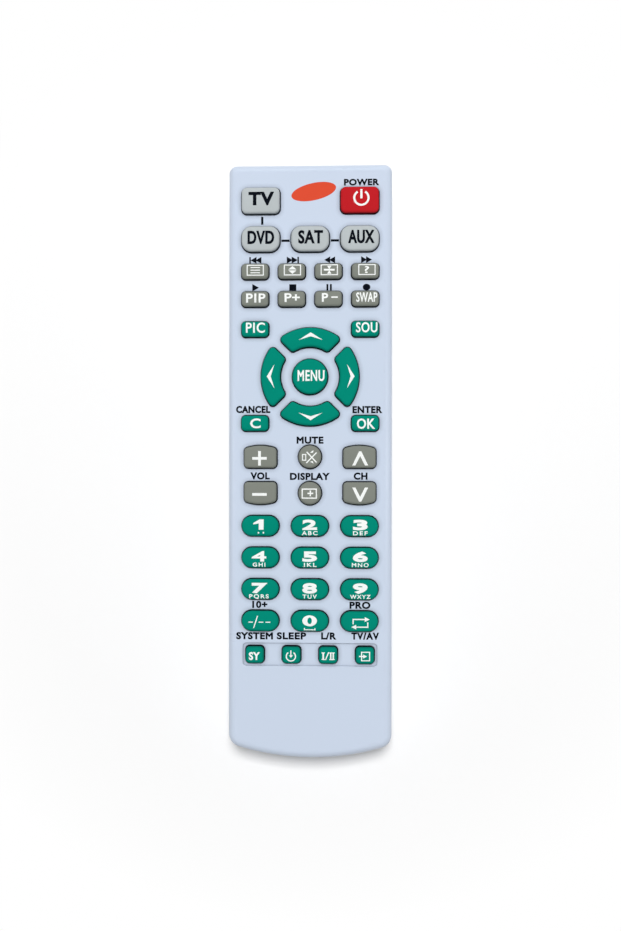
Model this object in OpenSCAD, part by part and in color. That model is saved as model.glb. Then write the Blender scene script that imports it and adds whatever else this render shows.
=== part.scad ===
// Universal remote control: a two-part case, separate silicone keys, a circuit board and two AAA cells.
// X points to the right of the key face, Y to the infrared end and Z up from the resting face.
// The origin lies on the resting face, below the middle of the case. All sizes are in millimetres.

/* [Case] */
// Width of the case
case_w = 50; // [48:0.5:60]
// Length of the case, from the infrared end to the middle of the bowed tail
case_l = 181.7; // [176:0.1:220]
// Height of the seam between the two covers
seam_h = 11; // [9:0.5:12]
// Thickness of the side walls
wall = 1.6; // [1.2:0.1:2.2]
// Thickness of the key face
face_wall = 2; // [1.6:0.1:3]
// Thickness of the resting wall and of the battery door
base_wall = 1.8; // [1.6:0.1:2.4]
// Plan radius of the corners at the infrared end
head_corner_r = 2.4; // [1.5:0.1:6]
// Plan radius of the corners at the tail
tail_corner_r = 4.2; // [2:0.1:8]
// How far the tail bows out past its corners
tail_bow = 4.1; // [1:0.1:8]
// Round between the key face and the sides
face_edge_r = 2.2; // [1:0.1:4]
// Round between the resting face and the sides
base_edge_r = 5; // [3:0.1:7]
// How much the sides draw in from the seam to the lower round
side_draft = 0.4; // [0:0.1:1]
// Height of the lip that centres the covers on each other
lip_h = 1.2; // [0.8:0.1:2]

/* [Key rows] */
// From the infrared end to the middle of the power key row
head_to_power = 11.3; // [9:0.1:16]
// From the power key row to the source key row
power_to_source = 11.7; // [11:0.1:16]
// From the source key row to the first text key row
source_to_text = 9.9; // [9.5:0.1:14]
// Pitch of the two text key rows
text_pitch = 8.4; // [8:0.1:12]
// From the second text key row to the picture key row
text_to_picture = 9.2; // [8:0.1:14]
// From the picture key row to the middle of the arrow ring
picture_to_ring = 14.5; // [14:0.1:20]
// From the middle of the arrow ring to the cancel key row
ring_to_cancel = 14.2; // [13.9:0.1:20]
// From the cancel key row to the volume up row
cancel_to_volume = 10.2; // [9.5:0.1:14]
// Pitch of the two volume rows
volume_pitch = 11.1; // [10.4:0.1:14]
// From the volume down row to the first digit row
volume_to_digit = 10; // [9.7:0.1:14]
// Pitch of the four digit rows
digit_pitch = 9.65; // [9.2:0.05:12]
// From the last digit row to the system key row
digit_to_system = 10.4; // [9.5:0.1:14]
// From the side of the case to the outer keys
key_margin = 4.1; // [3.2:0.1:4.4]
// From the side of the case to the outer system keys
system_margin = 5.4; // [4.6:0.1:7]

/* [Key sizes] */
// Width and depth of the power and television keys
power_size = [11.6, 7.9]; // [5:0.1:14]
// Corner radius of the power and television keys
power_corner_r = 1.6; // [0.6:0.1:3]
// Width and depth of the source keys
source_size = [11.6, 7.7]; // [5:0.1:13]
// Corner radius of the source keys
source_corner_r = 3; // [1:0.1:4]
// Width and depth of the text, picture and cancel keys
small_size = [8.2, 4.6]; // [4:0.1:9]
// Corner radius of the text, picture and cancel keys
small_corner_r = 1.2; // [0.6:0.1:2.4]
// Width and depth of the volume and channel keys, with their bow
volume_size = [9.9, 6.8]; // [6:0.1:12]
// Corner radius of the volume and channel keys
volume_corner_r = 1.2; // [0.6:0.1:3]
// How far the outer edge of a volume or channel key bows out
volume_bow = 0.9; // [0.3:0.1:2]
// Diameter of the mute and display keys
mute_d = 7; // [5:0.1:9]
// Width and depth of the digit keys, which have round ends
digit_size = [11.3, 6.1]; // [6:0.1:12.5]
// Width and depth of the system keys
system_size = [5.6, 5.1]; // [4:0.1:7]
// Corner radius of the system keys
system_corner_r = 1.2; // [0.6:0.1:2.4]
// Diameter of the menu key in the middle of the arrow ring
menu_d = 10.7; // [8:0.1:13]
// Inner radius of the arrow ring
ring_r_in = 9.1; // [8.4:0.1:10]
// Outer radius of the arrow ring
ring_r_out = 14.9; // [13:0.1:15.4]
// Gap between neighbouring arrow keys
ring_gap = 2.8; // [2.4:0.1:4]
// Corner radius of the arrow keys
ring_corner_r = 1.2; // [0.9:0.1:2]
// Height of the keys above the key face
key_rise = 2; // [1.2:0.1:3]
// Round along the top edge of a key
key_edge_r = 0.8; // [0.3:0.1:1]
// Depth of the panel that the system keys sit in
panel_depth = 0.5; // [0.2:0.1:0.9]
// Border of that panel around the system keys
panel_border = 0.9; // [0.6:0.1:1.5]
// Corner radius of that panel
panel_corner_r = 1; // [0.5:0.1:3]

/* [Keypad] */
// Travel of a key
key_travel = 1; // [0.5:0.1:1.5]
// Gap between a key and the edge of its opening
key_gap = 0.3; // [0.2:0.05:0.4]
// How far a key's skirt reaches out under the key face
skirt_w = 0.6; // [0.4:0.05:0.7]
// Thickness of the skirt
skirt_t = 0.8; // [0.5:0.1:1.5]
// Height of the carbon pill under the skirt
pill_h = 0.6; // [0.4:0.1:1.2]
// Radius of the carbon pill
pill_r = 1.6; // [1:0.1:2]
// Thickness of the keypad mat
mat_t = 1.2; // [0.8:0.1:1.5]
// Thickness of the circuit board
board_t = 1.2; // [0.8:0.1:1.6]
// Gap between the edge of the board and the side walls
board_gap = 0.3; // [0.2:0.05:0.5]

/* [Battery bay] */
// Diameter of a AAA cell
cell_d = 10.5; // [10:0.1:11]
// Length of a AAA cell with its nub
cell_l = 44.5; // [43:0.1:46]
// Clearance around a cell
cell_gap = 0.3; // [0.2:0.05:0.6]
// Thickness of the walls of the battery bay
bay_wall = 1.2; // [1:0.1:2]
// From the tail of the case to the battery bay
bay_tail_gap = 12; // [10:0.5:18]
// Room for solder joints between the battery bay and the board
solder_gap = 0.7; // [0.5:0.1:2]
// Length of a battery spring in use
spring_l = 5; // [4.6:0.1:6.5]
// Diameter of the spring wire
spring_wire = 0.5; // [0.4:0.05:0.6]
// Number of turns of a spring
spring_turns = 3; // [2:1:3]
// Thickness of the sheet that the battery contacts are cut from
contact_t = 0.4; // [0.3:0.05:0.8]
// Width of the visible face of the battery door
door_w = 30; // [26:0.5:31]
// Width of the tongue on each side of the battery door
tongue_w = 1.6; // [1:0.1:1.8]
// Running clearance around the battery door
door_gap = 0.2; // [0.15:0.05:0.3]

/* [Fasteners and window] */
// Radius of a screw's shank
screw_r = 1; // [0.8:0.1:1.3]
// Radius of a screw's head
screw_head_r = 2; // [1.6:0.1:2.3]
// Height of a screw's head
screw_head_h = 1.4; // [1:0.1:2]
// Depth of the screw heads below the resting face
screw_sink = 3.6; // [3:0.1:5]
// Radius of the screw posts in the base cover
post_r = 3.4; // [3.2:0.1:4]
// Radius of the screw bosses in the face cover
boss_r = 2.6; // [2:0.1:2.8]
// Width of the infrared window
window_w = 24; // [20:0.5:34]
// Height of the infrared window
window_h = 6; // [5.8:0.1:6.2]
// Distance of each infrared diode from the middle of the window
diode_x = 7; // [6.6:0.1:8]
// Radius of an infrared diode
diode_r = 2.5; // [1.5:0.1:2.6]

/* [Hidden] */
$fn = 48;
corner_steps = 5;
bow_steps = 10;
edge_steps = 3;
case_edge_steps = 5;
round_steps = 36;
least_corner_r = 0.15;
case_corner_r = 1.4;
cut_past = 1;
touch_gap = 0.1;
seat_gap = 0.05;
fit_gap = 0.1;

// Heights, from the resting face up
cell_z = base_wall + cell_gap + cell_d / 2;
bay_roof_z = cell_z + cell_d / 2 + cell_gap;
bay_top_z = bay_roof_z + bay_wall;
board_z = bay_top_z + solder_gap;
board_top_z = board_z + board_t;
pill_z = board_top_z + touch_gap + key_travel;
skirt_z = pill_z + pill_h;
skirt_top_z = skirt_z + skirt_t;
face_in_z = skirt_top_z + touch_gap;
case_h = face_in_z + face_wall;
mat_top_z = board_top_z + mat_t;

// Places along the case
head_y = case_l / 2;
tail_y = -case_l / 2;
power_y = head_y - head_to_power;
source_y = power_y - power_to_source;
text_y = source_y - source_to_text;
insert_y = text_y - text_pitch;
picture_y = insert_y - text_to_picture;
ring_y = picture_y - picture_to_ring;
cancel_y = ring_y - ring_to_cancel;
volume_up_y = cancel_y - cancel_to_volume;
volume_down_y = volume_up_y - volume_pitch;
digit_y = volume_down_y - volume_to_digit;
function digit_row(i) = digit_y - i * digit_pitch;
system_y = digit_row(3) - digit_to_system;

// Places across the case
wide_x = case_w / 2 - key_margin - power_size[0] / 2;
small_x = case_w / 2 - key_margin - small_size[0] / 2;
system_x = case_w / 2 - system_margin - system_size[0] / 2;
function four_across(outer) = [-outer, -outer / 3, outer / 3, outer];
small_cols = four_across(small_x);
system_cols = four_across(system_x);

// Colours
shell_colour = "#cdd9ec";
green_colour = "#078e7c";
grey_colour = "#82867e";
light_colour = "#b4b9b8";
red_colour = "#be262d";
metal_colour = "#b8bcc0";

// The keys: name, outline, middle, size, corner radius, colour and how far the top lies below the others.
// An arc key's size holds the way that it points, in degrees, and its middle is the middle of the ring.
KEYS = concat(
    [
        ["tv_key", "box", [-wide_x, power_y], power_size, power_corner_r, light_colour, 0],
        ["power_key", "box", [wide_x, power_y], power_size, power_corner_r, red_colour, 0],
        ["disc_key", "box", [-wide_x, source_y], source_size, source_corner_r, light_colour, 0],
        ["satellite_key", "box", [0, source_y], source_size, source_corner_r, light_colour, 0],
        ["auxiliary_key", "box", [wide_x, source_y], source_size, source_corner_r, light_colour, 0],
    ],
    key_row(["text_key", "text_size_key", "text_hold_key", "text_reveal_key"],
        small_cols, text_y, small_size, small_corner_r, grey_colour, 0),
    key_row(["inset_key", "program_up_key", "program_down_key", "swap_key"],
        small_cols, insert_y, small_size, small_corner_r, grey_colour, 0),
    key_row(["picture_key", "sound_key"],
        [-small_x, small_x], picture_y, small_size, small_corner_r, green_colour, 0),
    [
        ["up_key", "arc", [0, ring_y], 0, ring_corner_r, green_colour, 0],
        ["left_key", "arc", [0, ring_y], 90, ring_corner_r, green_colour, 0],
        ["down_key", "arc", [0, ring_y], 180, ring_corner_r, green_colour, 0],
        ["right_key", "arc", [0, ring_y], 270, ring_corner_r, green_colour, 0],
        ["menu_key", "round", [0, ring_y], [menu_d, menu_d], menu_d / 2, green_colour, 0],
    ],
    key_row(["cancel_key", "ok_key"],
        [-small_x, small_x], cancel_y, small_size, small_corner_r, green_colour, 0),
    [
        ["volume_up_key", "bow_up", [-wide_x, volume_up_y], volume_size, volume_corner_r, grey_colour, 0],
        ["volume_down_key", "bow_down", [-wide_x, volume_down_y], volume_size, volume_corner_r, grey_colour, 0],
        ["mute_key", "round", [0, volume_up_y], [mute_d, mute_d], mute_d / 2, grey_colour, 0],
        ["display_key", "round", [0, volume_down_y], [mute_d, mute_d], mute_d / 2, grey_colour, 0],
        ["channel_up_key", "bow_up", [wide_x, volume_up_y], volume_size, volume_corner_r, grey_colour, 0],
        ["channel_down_key", "bow_down", [wide_x, volume_down_y], volume_size, volume_corner_r, grey_colour, 0],
    ],
    [for (i = [0 : 8]) digit_key(str("digit_", i + 1, "_key"), i % 3, floor(i / 3))],
    [
        digit_key("dash_key", 0, 3),
        digit_key("digit_0_key", 1, 3),
        digit_key("recall_key", 2, 3),
    ],
    key_row(["system_key", "sleep_key", "audio_key", "input_key"],
        system_cols, system_y, system_size, system_corner_r, green_colour, panel_depth)
);

function key_row(names, cols, y, size, corner_r, colour, drop) =
    [for (i = [0 : len(names) - 1]) [names[i], "box", [cols[i], y], size, corner_r, colour, drop]];
function digit_key(name, col, row) =
    [name, "box", [(col - 1) * wide_x, digit_row(row)], digit_size, digit_size[1] / 2, green_colour, 0];

function key_name(k) = k[0];
function key_colour(k) = k[5];
function key_top_z(k) = case_h + key_rise - k[6];

// Rows that the ribs under the key face run between: the lower and the upper edge of each row.
function row_edges(y, depth) = [y - depth / 2, y + depth / 2];
HEAD_ROWS = [
    row_edges(power_y, power_size[1]), row_edges(source_y, source_size[1]), row_edges(text_y, small_size[1]),
    row_edges(insert_y, small_size[1]), row_edges(picture_y, small_size[1]),
];
TAIL_ROWS = concat(
    [
        row_edges(cancel_y, small_size[1]),
        row_edges(volume_up_y, volume_size[1]),
        row_edges(volume_down_y, volume_size[1]),
    ],
    [for (i = [0 : 3]) row_edges(digit_row(i), digit_size[1])],
    [row_edges(system_y, system_size[1])]
);
rib_w = 0.8;
rib_gap = 0.2;

// The board and the mat
board_half_w = case_w / 2 - wall - board_gap;
window_flange = 0.8;
window_flange_t = 1;
window_set = 0.3;
window_in_y = head_y - wall - side_draft - fit_gap;
board_head_y = window_in_y - window_flange_t - board_gap;
board_tail_lap = 4;
board_tail_y = system_y - system_size[1] / 2 - board_tail_lap;
board_corner_r = 2;
mat_inset = 0.1;
pad_t = 0.05;
pad_lap = 0.4;

// The battery bay and its door
bay_l = 2 * contact_t + spring_l + cell_l + 3 * seat_gap;
bay_tail_y = tail_y + bay_tail_gap;
bay_head_y = bay_tail_y + bay_l;
bay_mid_y = (bay_tail_y + bay_head_y) / 2;
cell_x = cell_d / 2 + cell_gap;
door_half_w = door_w / 2;
tongue_t = base_wall / 2;
bay_half_w = door_half_w + tongue_w + door_gap;
door_lap = 2;
door_head_y = bay_head_y + bay_wall + door_lap;
door_tab = [10, 2];
cradle_w = 1;
contact_w = 8;
contact_tab_w = 2.4;

// Screws: one at each end on the middle line, and one on each side below the arrow ring
post_lap = 0.6;
ring_screw_angle = -22;
ring_screw_d = ring_r_out + skirt_w + key_gap + boss_r + fit_gap;
SCREWS = [
    [0, power_y],
    [ring_screw_d * cos(ring_screw_angle), ring_y + ring_screw_d * sin(ring_screw_angle)],
    [-ring_screw_d * cos(ring_screw_angle), ring_y + ring_screw_d * sin(ring_screw_angle)],
    [0, bay_tail_y - bay_wall - post_r + post_lap],
];
screw_seat_z = screw_sink + screw_head_h;
screw_reach = 5;
screw_tip_z = seam_h + screw_reach;

// Posts that carry the board: their distances from the board's ends and from the middle of the ring
support_r = 1.5;
support_x = bay_half_w + bay_wall + support_r - post_lap;
support_to_head = 14;
support_to_ring = 20;
support_to_tail = 6;
SUPPORT_Y = [board_head_y - support_to_head, ring_y - support_to_ring, board_tail_y + support_to_tail];

// The window and the diodes
window_z = board_z - window_h / 2 - fit_gap;
diode_l = 8.6;
diode_gap = 0.4;
collar_w = 0.4;
collar_t = 1;
dome_steps = 6;
diode_z = board_z - diode_r - collar_w - fit_gap;
lead_w = 0.5;
lead_pitch = 2.54;
lead_run = 2.5;

// Parts under the board
chip_size = [7.6, 18, 2.3];
chip_legs = 14;
chip_leg = [1.2, 0.45, 0.2];
crystal_size = [10.5, 4.6, 3.6];
crystal_shift = 2.6;
capacitor_r = 2.5;
capacitor_h = 9;
capacitor_shift = 2.5;
lamp_size = [1.6, 0.8, 0.5];
lamp_offset = 4;

// Outlines, as lists of points that run anticlockwise

function arc(c, r, from, to, steps) =
    [for (i = [0 : steps]) let (a = from + (to - from) * i / steps) c + r * [cos(a), sin(a)]];
function turned(points, angle) =
    [for (p = points) [p[0] * cos(angle) - p[1] * sin(angle), p[0] * sin(angle) + p[1] * cos(angle)]];
function moved(points, by) = [for (p = points) p + by];
function bow_radius(w, bow) = (w * w / 4 + bow * bow) / (2 * bow);

// A rectangle with round corners, grown by the given amount
function box_outline(size, corner_r, grow) =
    let (
        r = max(corner_r + grow, least_corner_r),
        x = size[0] / 2 + grow - r,
        y = size[1] / 2 + grow - r
    )
    concat(
        arc([x, -y], r, -90, 0, corner_steps), arc([x, y], r, 0, 90, corner_steps),
        arc([-x, y], r, 90, 180, corner_steps), arc([-x, -y], r, 180, 270, corner_steps)
    );

// The same with its -Y end bowed out, so that the size is taken at the middle of the bow
function bowed_outline(size, far_r, bow_r, bow, grow, least_r) =
    let (
        big_r = bow_radius(size[0], bow),
        big = [0, big_r - size[1] / 2],
        far = max(far_r + grow, least_r),
        near = max(bow_r + grow, least_r),
        half = size[0] / 2 + grow,
        near_x = half - near,
        near_y = big[1] - sqrt(pow(big_r + grow - near, 2) - near_x * near_x),
        lean = atan2(near_y - big[1], near_x),
        far_x = half - far,
        far_y = size[1] / 2 + grow - far,
        bow_step = (180 + 2 * lean) / bow_steps
    )
    concat(
        arc(big, big_r + grow, -180 - lean + bow_step, lean - bow_step, bow_steps - 2),
        arc([near_x, near_y], near, lean, 0, corner_steps),
        arc([far_x, far_y], far, 0, 90, corner_steps),
        arc([-far_x, far_y], far, 90, 180, corner_steps),
        arc([-near_x, near_y], near, 180, 180 - lean, corner_steps)
    );

// A quarter of the arrow ring, pointing along +Y, with straight ends along the diagonals
function ring_outline(corner_r, grow) =
    let (
        r = max(corner_r + grow, least_corner_r),
        side = ring_gap / 2 - grow + r,
        out_r = ring_r_out + grow,
        in_r = ring_r_in - grow,
        out_a = 45 + asin(side / (out_r - r)),
        in_a = 45 + asin(side / (in_r + r)),
        out_c = (out_r - r) * [cos(out_a), sin(out_a)],
        in_c = (in_r + r) * [cos(in_a), sin(in_a)],
        out_step = (180 - 2 * out_a) / bow_steps,
        in_step = (180 - 2 * in_a) / bow_steps
    )
    concat(
        arc(out_c, r, -45, out_a, corner_steps),
        arc([0, 0], out_r, out_a + out_step, 180 - out_a - out_step, bow_steps - 2),
        arc([-out_c[0], out_c[1]], r, 180 - out_a, 225, corner_steps),
        arc([-in_c[0], in_c[1]], r, 225, 360 - in_a, corner_steps),
        arc([0, 0], in_r, 180 - in_a - in_step, in_a + in_step, bow_steps - 2),
        arc(in_c, r, 180 + in_a, 315, corner_steps)
    );

function round_outline(r) =
    [for (i = [0 : round_steps - 1]) let (a = 360 * i / round_steps) r * [cos(a), sin(a)]];

function key_outline(k, grow) =
    let (shape = k[1], size = k[3], r = k[4])
    moved(
        shape == "arc" ? turned(ring_outline(r, grow), size)
        : shape == "round" ? round_outline(r + grow)
        : shape == "bow_up" ? turned(bow_key_outline(size, r, grow), 180)
        : shape == "bow_down" ? bow_key_outline(size, r, grow)
        : box_outline(size, r, grow),
        k[2]
    );
function bow_key_outline(size, r, grow) = bowed_outline(size, r, r, volume_bow, grow, least_corner_r);

// Where the carbon pill of a key sits
function key_pill(k) =
    k[1] == "arc" ? k[2] + (ring_r_in + ring_r_out) / 2 * [-sin(k[3]), cos(k[3])] : k[2];

function case_outline(inset) =
    bowed_outline([case_w, case_l], head_corner_r, tail_corner_r, tail_bow, -inset, case_corner_r);
function at_height(points, z) = [for (p = points) [p[0], p[1], z]];

// Profiles of the covers: height and inset of each ring, for walls of the given thickness
function base_profile(side, floor_z) =
    let (r = base_edge_r - side)
    concat(
        [for (i = [0 : case_edge_steps]) let (a = 90 * i / case_edge_steps)
            [floor_z + r * (1 - cos(a)), side + side_draft + r * (1 - sin(a))]],
        [[seam_h, side]]
    );
function face_profile(side, top_z) =
    let (r = max(face_edge_r - side, least_corner_r))
    concat(
        [[seam_h, side]],
        [for (i = [0 : case_edge_steps]) let (a = 90 * i / case_edge_steps)
            [top_z - r * (1 - sin(a)), side + r * (1 - cos(a))]]
    );
function profile_rings(profile) = [for (p = profile) at_height(case_outline(p[1]), p[0])];

// Shapes that several pieces use

// A closed skin through rings of equally many points, from the lowest ring to the highest
module skin(rings) {
    n = len(rings[0]);
    last = (len(rings) - 1) * n;
    sides = [
        for (k = [0 : len(rings) - 2], i = [0 : n - 1])
            let (a = k * n + i, b = k * n + (i + 1) % n)
            each [[a, a + n, b + n], [a, b + n, b]]
    ];
    caps = [[for (i = [0 : n - 1]) i], [for (i = [n - 1 : -1 : 0]) last + i]];
    polyhedron(points = [for (r = rings) each r], faces = concat(sides, caps));
}

module slab(points, z0, z1) {
    translate([0, 0, z0]) linear_extrude(z1 - z0) polygon(points);
}

// A box from one corner to the opposite one
module block(low, high) {
    translate(low) cube(high - low);
}

module upright(xy, r, z0, z1) {
    translate([xy[0], xy[1], z0]) cylinder(r = r, h = z1 - z0);
}

// The opening for the infrared window in the end wall of both covers
module window_opening() {
    half = window_w / 2 + fit_gap;
    block([-half, window_in_y - cut_past, window_z - window_h / 2 - fit_gap],
        [half, head_y + cut_past, window_z + window_h / 2 + fit_gap]);
}

module side_by_side() {
    for (side = [-1, 1]) translate([side * diode_x, 0, 0]) children();
}

// Case

module face_cover() {
    color(shell_colour) difference() {
        union() {
            difference() {
                skin(profile_rings(face_profile(0, case_h)));
                skin(concat(
                    [at_height(case_outline(wall), seam_h - cut_past)],
                    profile_rings(face_profile(wall, face_in_z))
                ));
                slab(case_outline(wall / 2), seam_h - cut_past, seam_h + lip_h + fit_gap);
            }
            for (s = SCREWS) upright(s, boss_r, seam_h, face_in_z + face_wall / 2);
            mat_ribs(HEAD_ROWS);
            mat_ribs(TAIL_ROWS);
        }
        for (k = KEYS) slab(key_outline(k, key_gap), face_in_z - cut_past, case_h + cut_past);
        for (s = SCREWS) upright(s, screw_r + seat_gap, seam_h - cut_past, screw_tip_z + touch_gap);
        system_panel();
        window_opening();
    }
}

// Ribs that press the mat on to the board between one key row and the next, clear of the keys' skirts
module mat_ribs(rows) {
    half = board_half_w - mat_inset - rib_w;
    for (i = [0 : len(rows) - 2]) {
        low = rows[i + 1][1] + skirt_w + rib_gap;
        high = rows[i][0] - skirt_w - rib_gap;
        mid = (low + high) / 2;
        thick = min(rib_w, high - low);
        block([-half, mid - thick / 2, mat_top_z], [half, mid + thick / 2, face_in_z + face_wall / 2]);
    }
}

module system_panel() {
    size = [2 * system_x + system_size[0], system_size[1]] + 2 * panel_border * [1, 1];
    slab(moved(box_outline(size, panel_corner_r, 0), [0, system_y]), case_h - panel_depth, case_h + cut_past);
}

module base_cover() {
    color(shell_colour) difference() {
        union() {
            difference() {
                skin(profile_rings(base_profile(0, 0)));
                skin(concat(
                    profile_rings(base_profile(wall, base_wall)),
                    [at_height(case_outline(wall), seam_h + cut_past)]
                ));
            }
            seam_lip();
            bay_walls();
            for (s = SCREWS) upright(s, post_r, base_wall / 2, seam_h);
            for (x = [-support_x, support_x], y = SUPPORT_Y) upright([x, y], support_r, base_wall, board_z);
        }
        for (s = SCREWS) {
            upright(s, screw_head_r + door_gap, -cut_past, screw_seat_z);
            upright(s, screw_r + fit_gap, 0, seam_h + cut_past);
        }
        bay_room();
        door_room();
        window_opening();
    }
}

module seam_lip() {
    difference() {
        slab(case_outline(wall / 2 + fit_gap), seam_h - lip_h / 2, seam_h + lip_h);
        slab(case_outline(wall), seam_h - lip_h, seam_h + lip_h + cut_past);
    }
}

// The closed box around the cells, standing on the resting wall beside the door
module bay_walls() {
    half = bay_half_w + bay_wall;
    block([-half, bay_tail_y - bay_wall, base_wall / 2], [half, bay_head_y + bay_wall, bay_top_z]);
}

module bay_room() {
    rib_y = [bay_tail_y + spring_l + contact_t, bay_head_y - spring_l - contact_t];
    difference() {
        block([-bay_half_w, bay_tail_y, base_wall / 2], [bay_half_w, bay_head_y, bay_roof_z]);
        for (side = [-1, 1]) translate([side * (cell_x + cell_d / 2 + cell_gap + cradle_w / 2), 0, 0])
            block([-cradle_w / 2, rib_y[0], cell_z], [cradle_w / 2, rib_y[1], bay_roof_z + cut_past]);
    }
    for (side = [-1, 1]) translate([side * cell_x, 0, 0])
        block([-contact_tab_w / 2 - fit_gap, bay_head_y - contact_t - fit_gap, bay_roof_z - cut_past],
            [contact_tab_w / 2 + fit_gap, bay_head_y, bay_top_z + cut_past]);
}

// The way that the battery door slides in, open at the tail
module door_room() {
    wide = door_half_w + tongue_w + door_gap;
    far = tail_y - cut_past;
    block([-door_half_w - door_gap, far, -cut_past],
        [door_half_w + door_gap, door_head_y + door_gap, base_wall + door_gap]);
    block([-wide, far, base_wall - tongue_t - door_gap], [wide, door_head_y + door_gap, base_wall + door_gap]);
    block([-door_tab[0] / 2 - door_gap, door_head_y, base_wall - tongue_t - door_gap],
        [door_tab[0] / 2 + door_gap, door_head_y + door_tab[1] + door_gap, base_wall + door_gap]);
}

module battery_door() {
    wide = door_half_w + tongue_w;
    color(shell_colour) difference() {
        intersection() {
            skin(profile_rings(base_profile(0, 0)));
            union() {
                block([-door_half_w, tail_y - cut_past, -cut_past], [door_half_w, door_head_y, base_wall]);
                block([-wide, tail_y - cut_past, base_wall - tongue_t], [wide, door_head_y, base_wall]);
                block([-door_tab[0] / 2, door_head_y - cut_past, base_wall - tongue_t],
                    [door_tab[0] / 2, door_head_y + door_tab[1], base_wall]);
            }
        }
        thumb_grip();
    }
}

// Grooves across the battery door, where a thumb pushes it
grip_count = 5;
grip_w = 1;
grip_pitch = 2.2;
grip_depth = 0.5;
grip_l = 14;
grip_gap = 5;
module thumb_grip() {
    for (i = [0 : grip_count - 1]) {
        y = door_head_y - grip_gap - i * grip_pitch;
        block([-grip_l / 2, y - grip_w, -cut_past], [grip_l / 2, y, grip_depth]);
    }
}

module case_screws() {
    color(metal_colour) for (s = SCREWS) difference() {
        union() {
            upright(s, screw_head_r, screw_sink, screw_seat_z - seat_gap);
            upright(s, screw_r, screw_sink + screw_head_h / 2, screw_tip_z);
        }
        translate([s[0], s[1], screw_sink]) cross_recess();
    }
}

recess_w = 0.6;
recess_depth = 0.8;
module cross_recess() {
    for (turn = [0, 90]) rotate([0, 0, turn])
        block([-screw_r, -recess_w / 2, -cut_past], [screw_r, recess_w / 2, recess_depth]);
}

module infrared_window() {
    half = [window_w, window_h] / 2;
    flange = half + window_flange * [1, 1];
    color("#1c1014") union() {
        block([-half[0], window_in_y - window_flange_t / 2, window_z - half[1]],
            [half[0], head_y - window_set, window_z + half[1]]);
        block([-flange[0], window_in_y - window_flange_t, window_z - flange[1]],
            [flange[0], window_in_y, window_z + flange[1]]);
    }
}

// Keypad

module key(k) {
    top = key_top_z(k);
    pill = key_pill(k);
    edge = [for (i = [0 : edge_steps]) let (a = 90 * i / edge_steps)
        at_height(key_outline(k, -key_edge_r * (1 - cos(a))), top - key_edge_r * (1 - sin(a)))];
    color(key_colour(k)) union() {
        skin(concat([at_height(key_outline(k, 0), skirt_z + skirt_t / 2)], edge));
        slab(key_outline(k, skirt_w), skirt_z, skirt_top_z);
        upright(pill, pill_r, pill_z, skirt_z + skirt_t / 2);
    }
}

module keypad_mat() {
    color("#9aa0a0") difference() {
        slab(board_outline(-mat_inset), board_top_z, mat_top_z);
        for (k = KEYS) slab(key_outline(k, skirt_w + key_gap), board_top_z - cut_past, mat_top_z + cut_past);
        for (s = SCREWS) upright(s, boss_r + key_gap, board_top_z - cut_past, mat_top_z + cut_past);
    }
}

// Electronics

function board_outline(grow) =
    moved(box_outline([2 * board_half_w, board_head_y - board_tail_y], board_corner_r, grow),
        [0, (board_head_y + board_tail_y) / 2]);

module circuit_board() {
    color("#2f6b3a") difference() {
        union() {
            slab(board_outline(0), board_z, board_top_z);
            for (k = KEYS)
                upright(key_pill(k), pill_r + pad_lap, board_top_z - board_t / 2, board_top_z + pad_t);
        }
        for (s = SCREWS) upright(s, boss_r + key_gap, board_z - cut_past, board_top_z + cut_past);
    }
}

// A diode that looks out along +Y, with a collar at its back and two legs bent up to the board
module diode(x) {
    collar_r = diode_r + collar_w;
    collar = [[0, 0], [collar_r, 0], [collar_r, collar_t], [diode_r, collar_t]];
    dome = arc([0, diode_l - diode_r], diode_r, 0, 90, dome_steps);
    tip_y = window_in_y - window_flange_t - diode_gap;
    back_y = tip_y - diode_l;
    low_z = diode_z - lead_w / 2;
    translate([x, back_y, diode_z]) rotate([-90, 0, 0]) rotate_extrude() polygon(concat(collar, dome));
    for (side = [-1, 1]) translate([x + side * lead_pitch / 2, back_y, 0]) {
        block([-lead_w / 2, -lead_run, low_z], [lead_w / 2, lead_w, low_z + lead_w]);
        block([-lead_w / 2, -lead_run, low_z], [lead_w / 2, lead_w - lead_run, board_z]);
    }
}

module infrared_emitter() {
    color("#9fb2c8") diode(-diode_x);
}

module infrared_receiver() {
    color("#26222a") diode(diode_x);
}

// One lamp under each key that chooses a source, beside its pill
module mode_lamps() {
    half = [lamp_size[0], lamp_size[1], 0] / 2;
    color("#f2ecd8") for (k = KEYS) if (key_colour(k) == light_colour)
        translate([k[2][0] + lamp_offset, k[2][1], board_top_z]) translate(-half) cube(lamp_size);
}

module control_chip() {
    half = chip_size / 2;
    leg_half = chip_leg[1] / 2;
    leg_pitch = chip_size[1] / chip_legs;
    color("#202224") translate([0, insert_y, board_z]) union() {
        block([-half[0], -half[1], -chip_size[2]], [half[0], half[1], -fit_gap]);
        for (side = [-1, 1], i = [0 : chip_legs - 1])
            translate([side * half[0], (i + 1 / 2) * leg_pitch - half[1], 0])
                block([-chip_leg[0], -leg_half, -chip_leg[2] - fit_gap], [chip_leg[0], leg_half, 0]);
    }
}

module clock_crystal() {
    can = box_outline([crystal_size[0], crystal_size[1]], crystal_size[1] / 2, 0);
    place = [crystal_shift - wide_x, source_y];
    color(metal_colour) slab(moved(can, place), board_z - crystal_size[2], board_z);
}

module supply_capacitor() {
    place = [wide_x - capacitor_shift, text_y];
    color("#23303e") upright(place, capacitor_r, board_z - capacitor_h, board_z);
}

// Cells and contacts

// Places children for the left cell as drawn and for the right cell turned end for end
module both_cells() {
    children();
    translate([0, bay_mid_y, 0]) rotate([0, 0, 180]) translate([0, -bay_mid_y, 0]) children();
}

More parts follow.
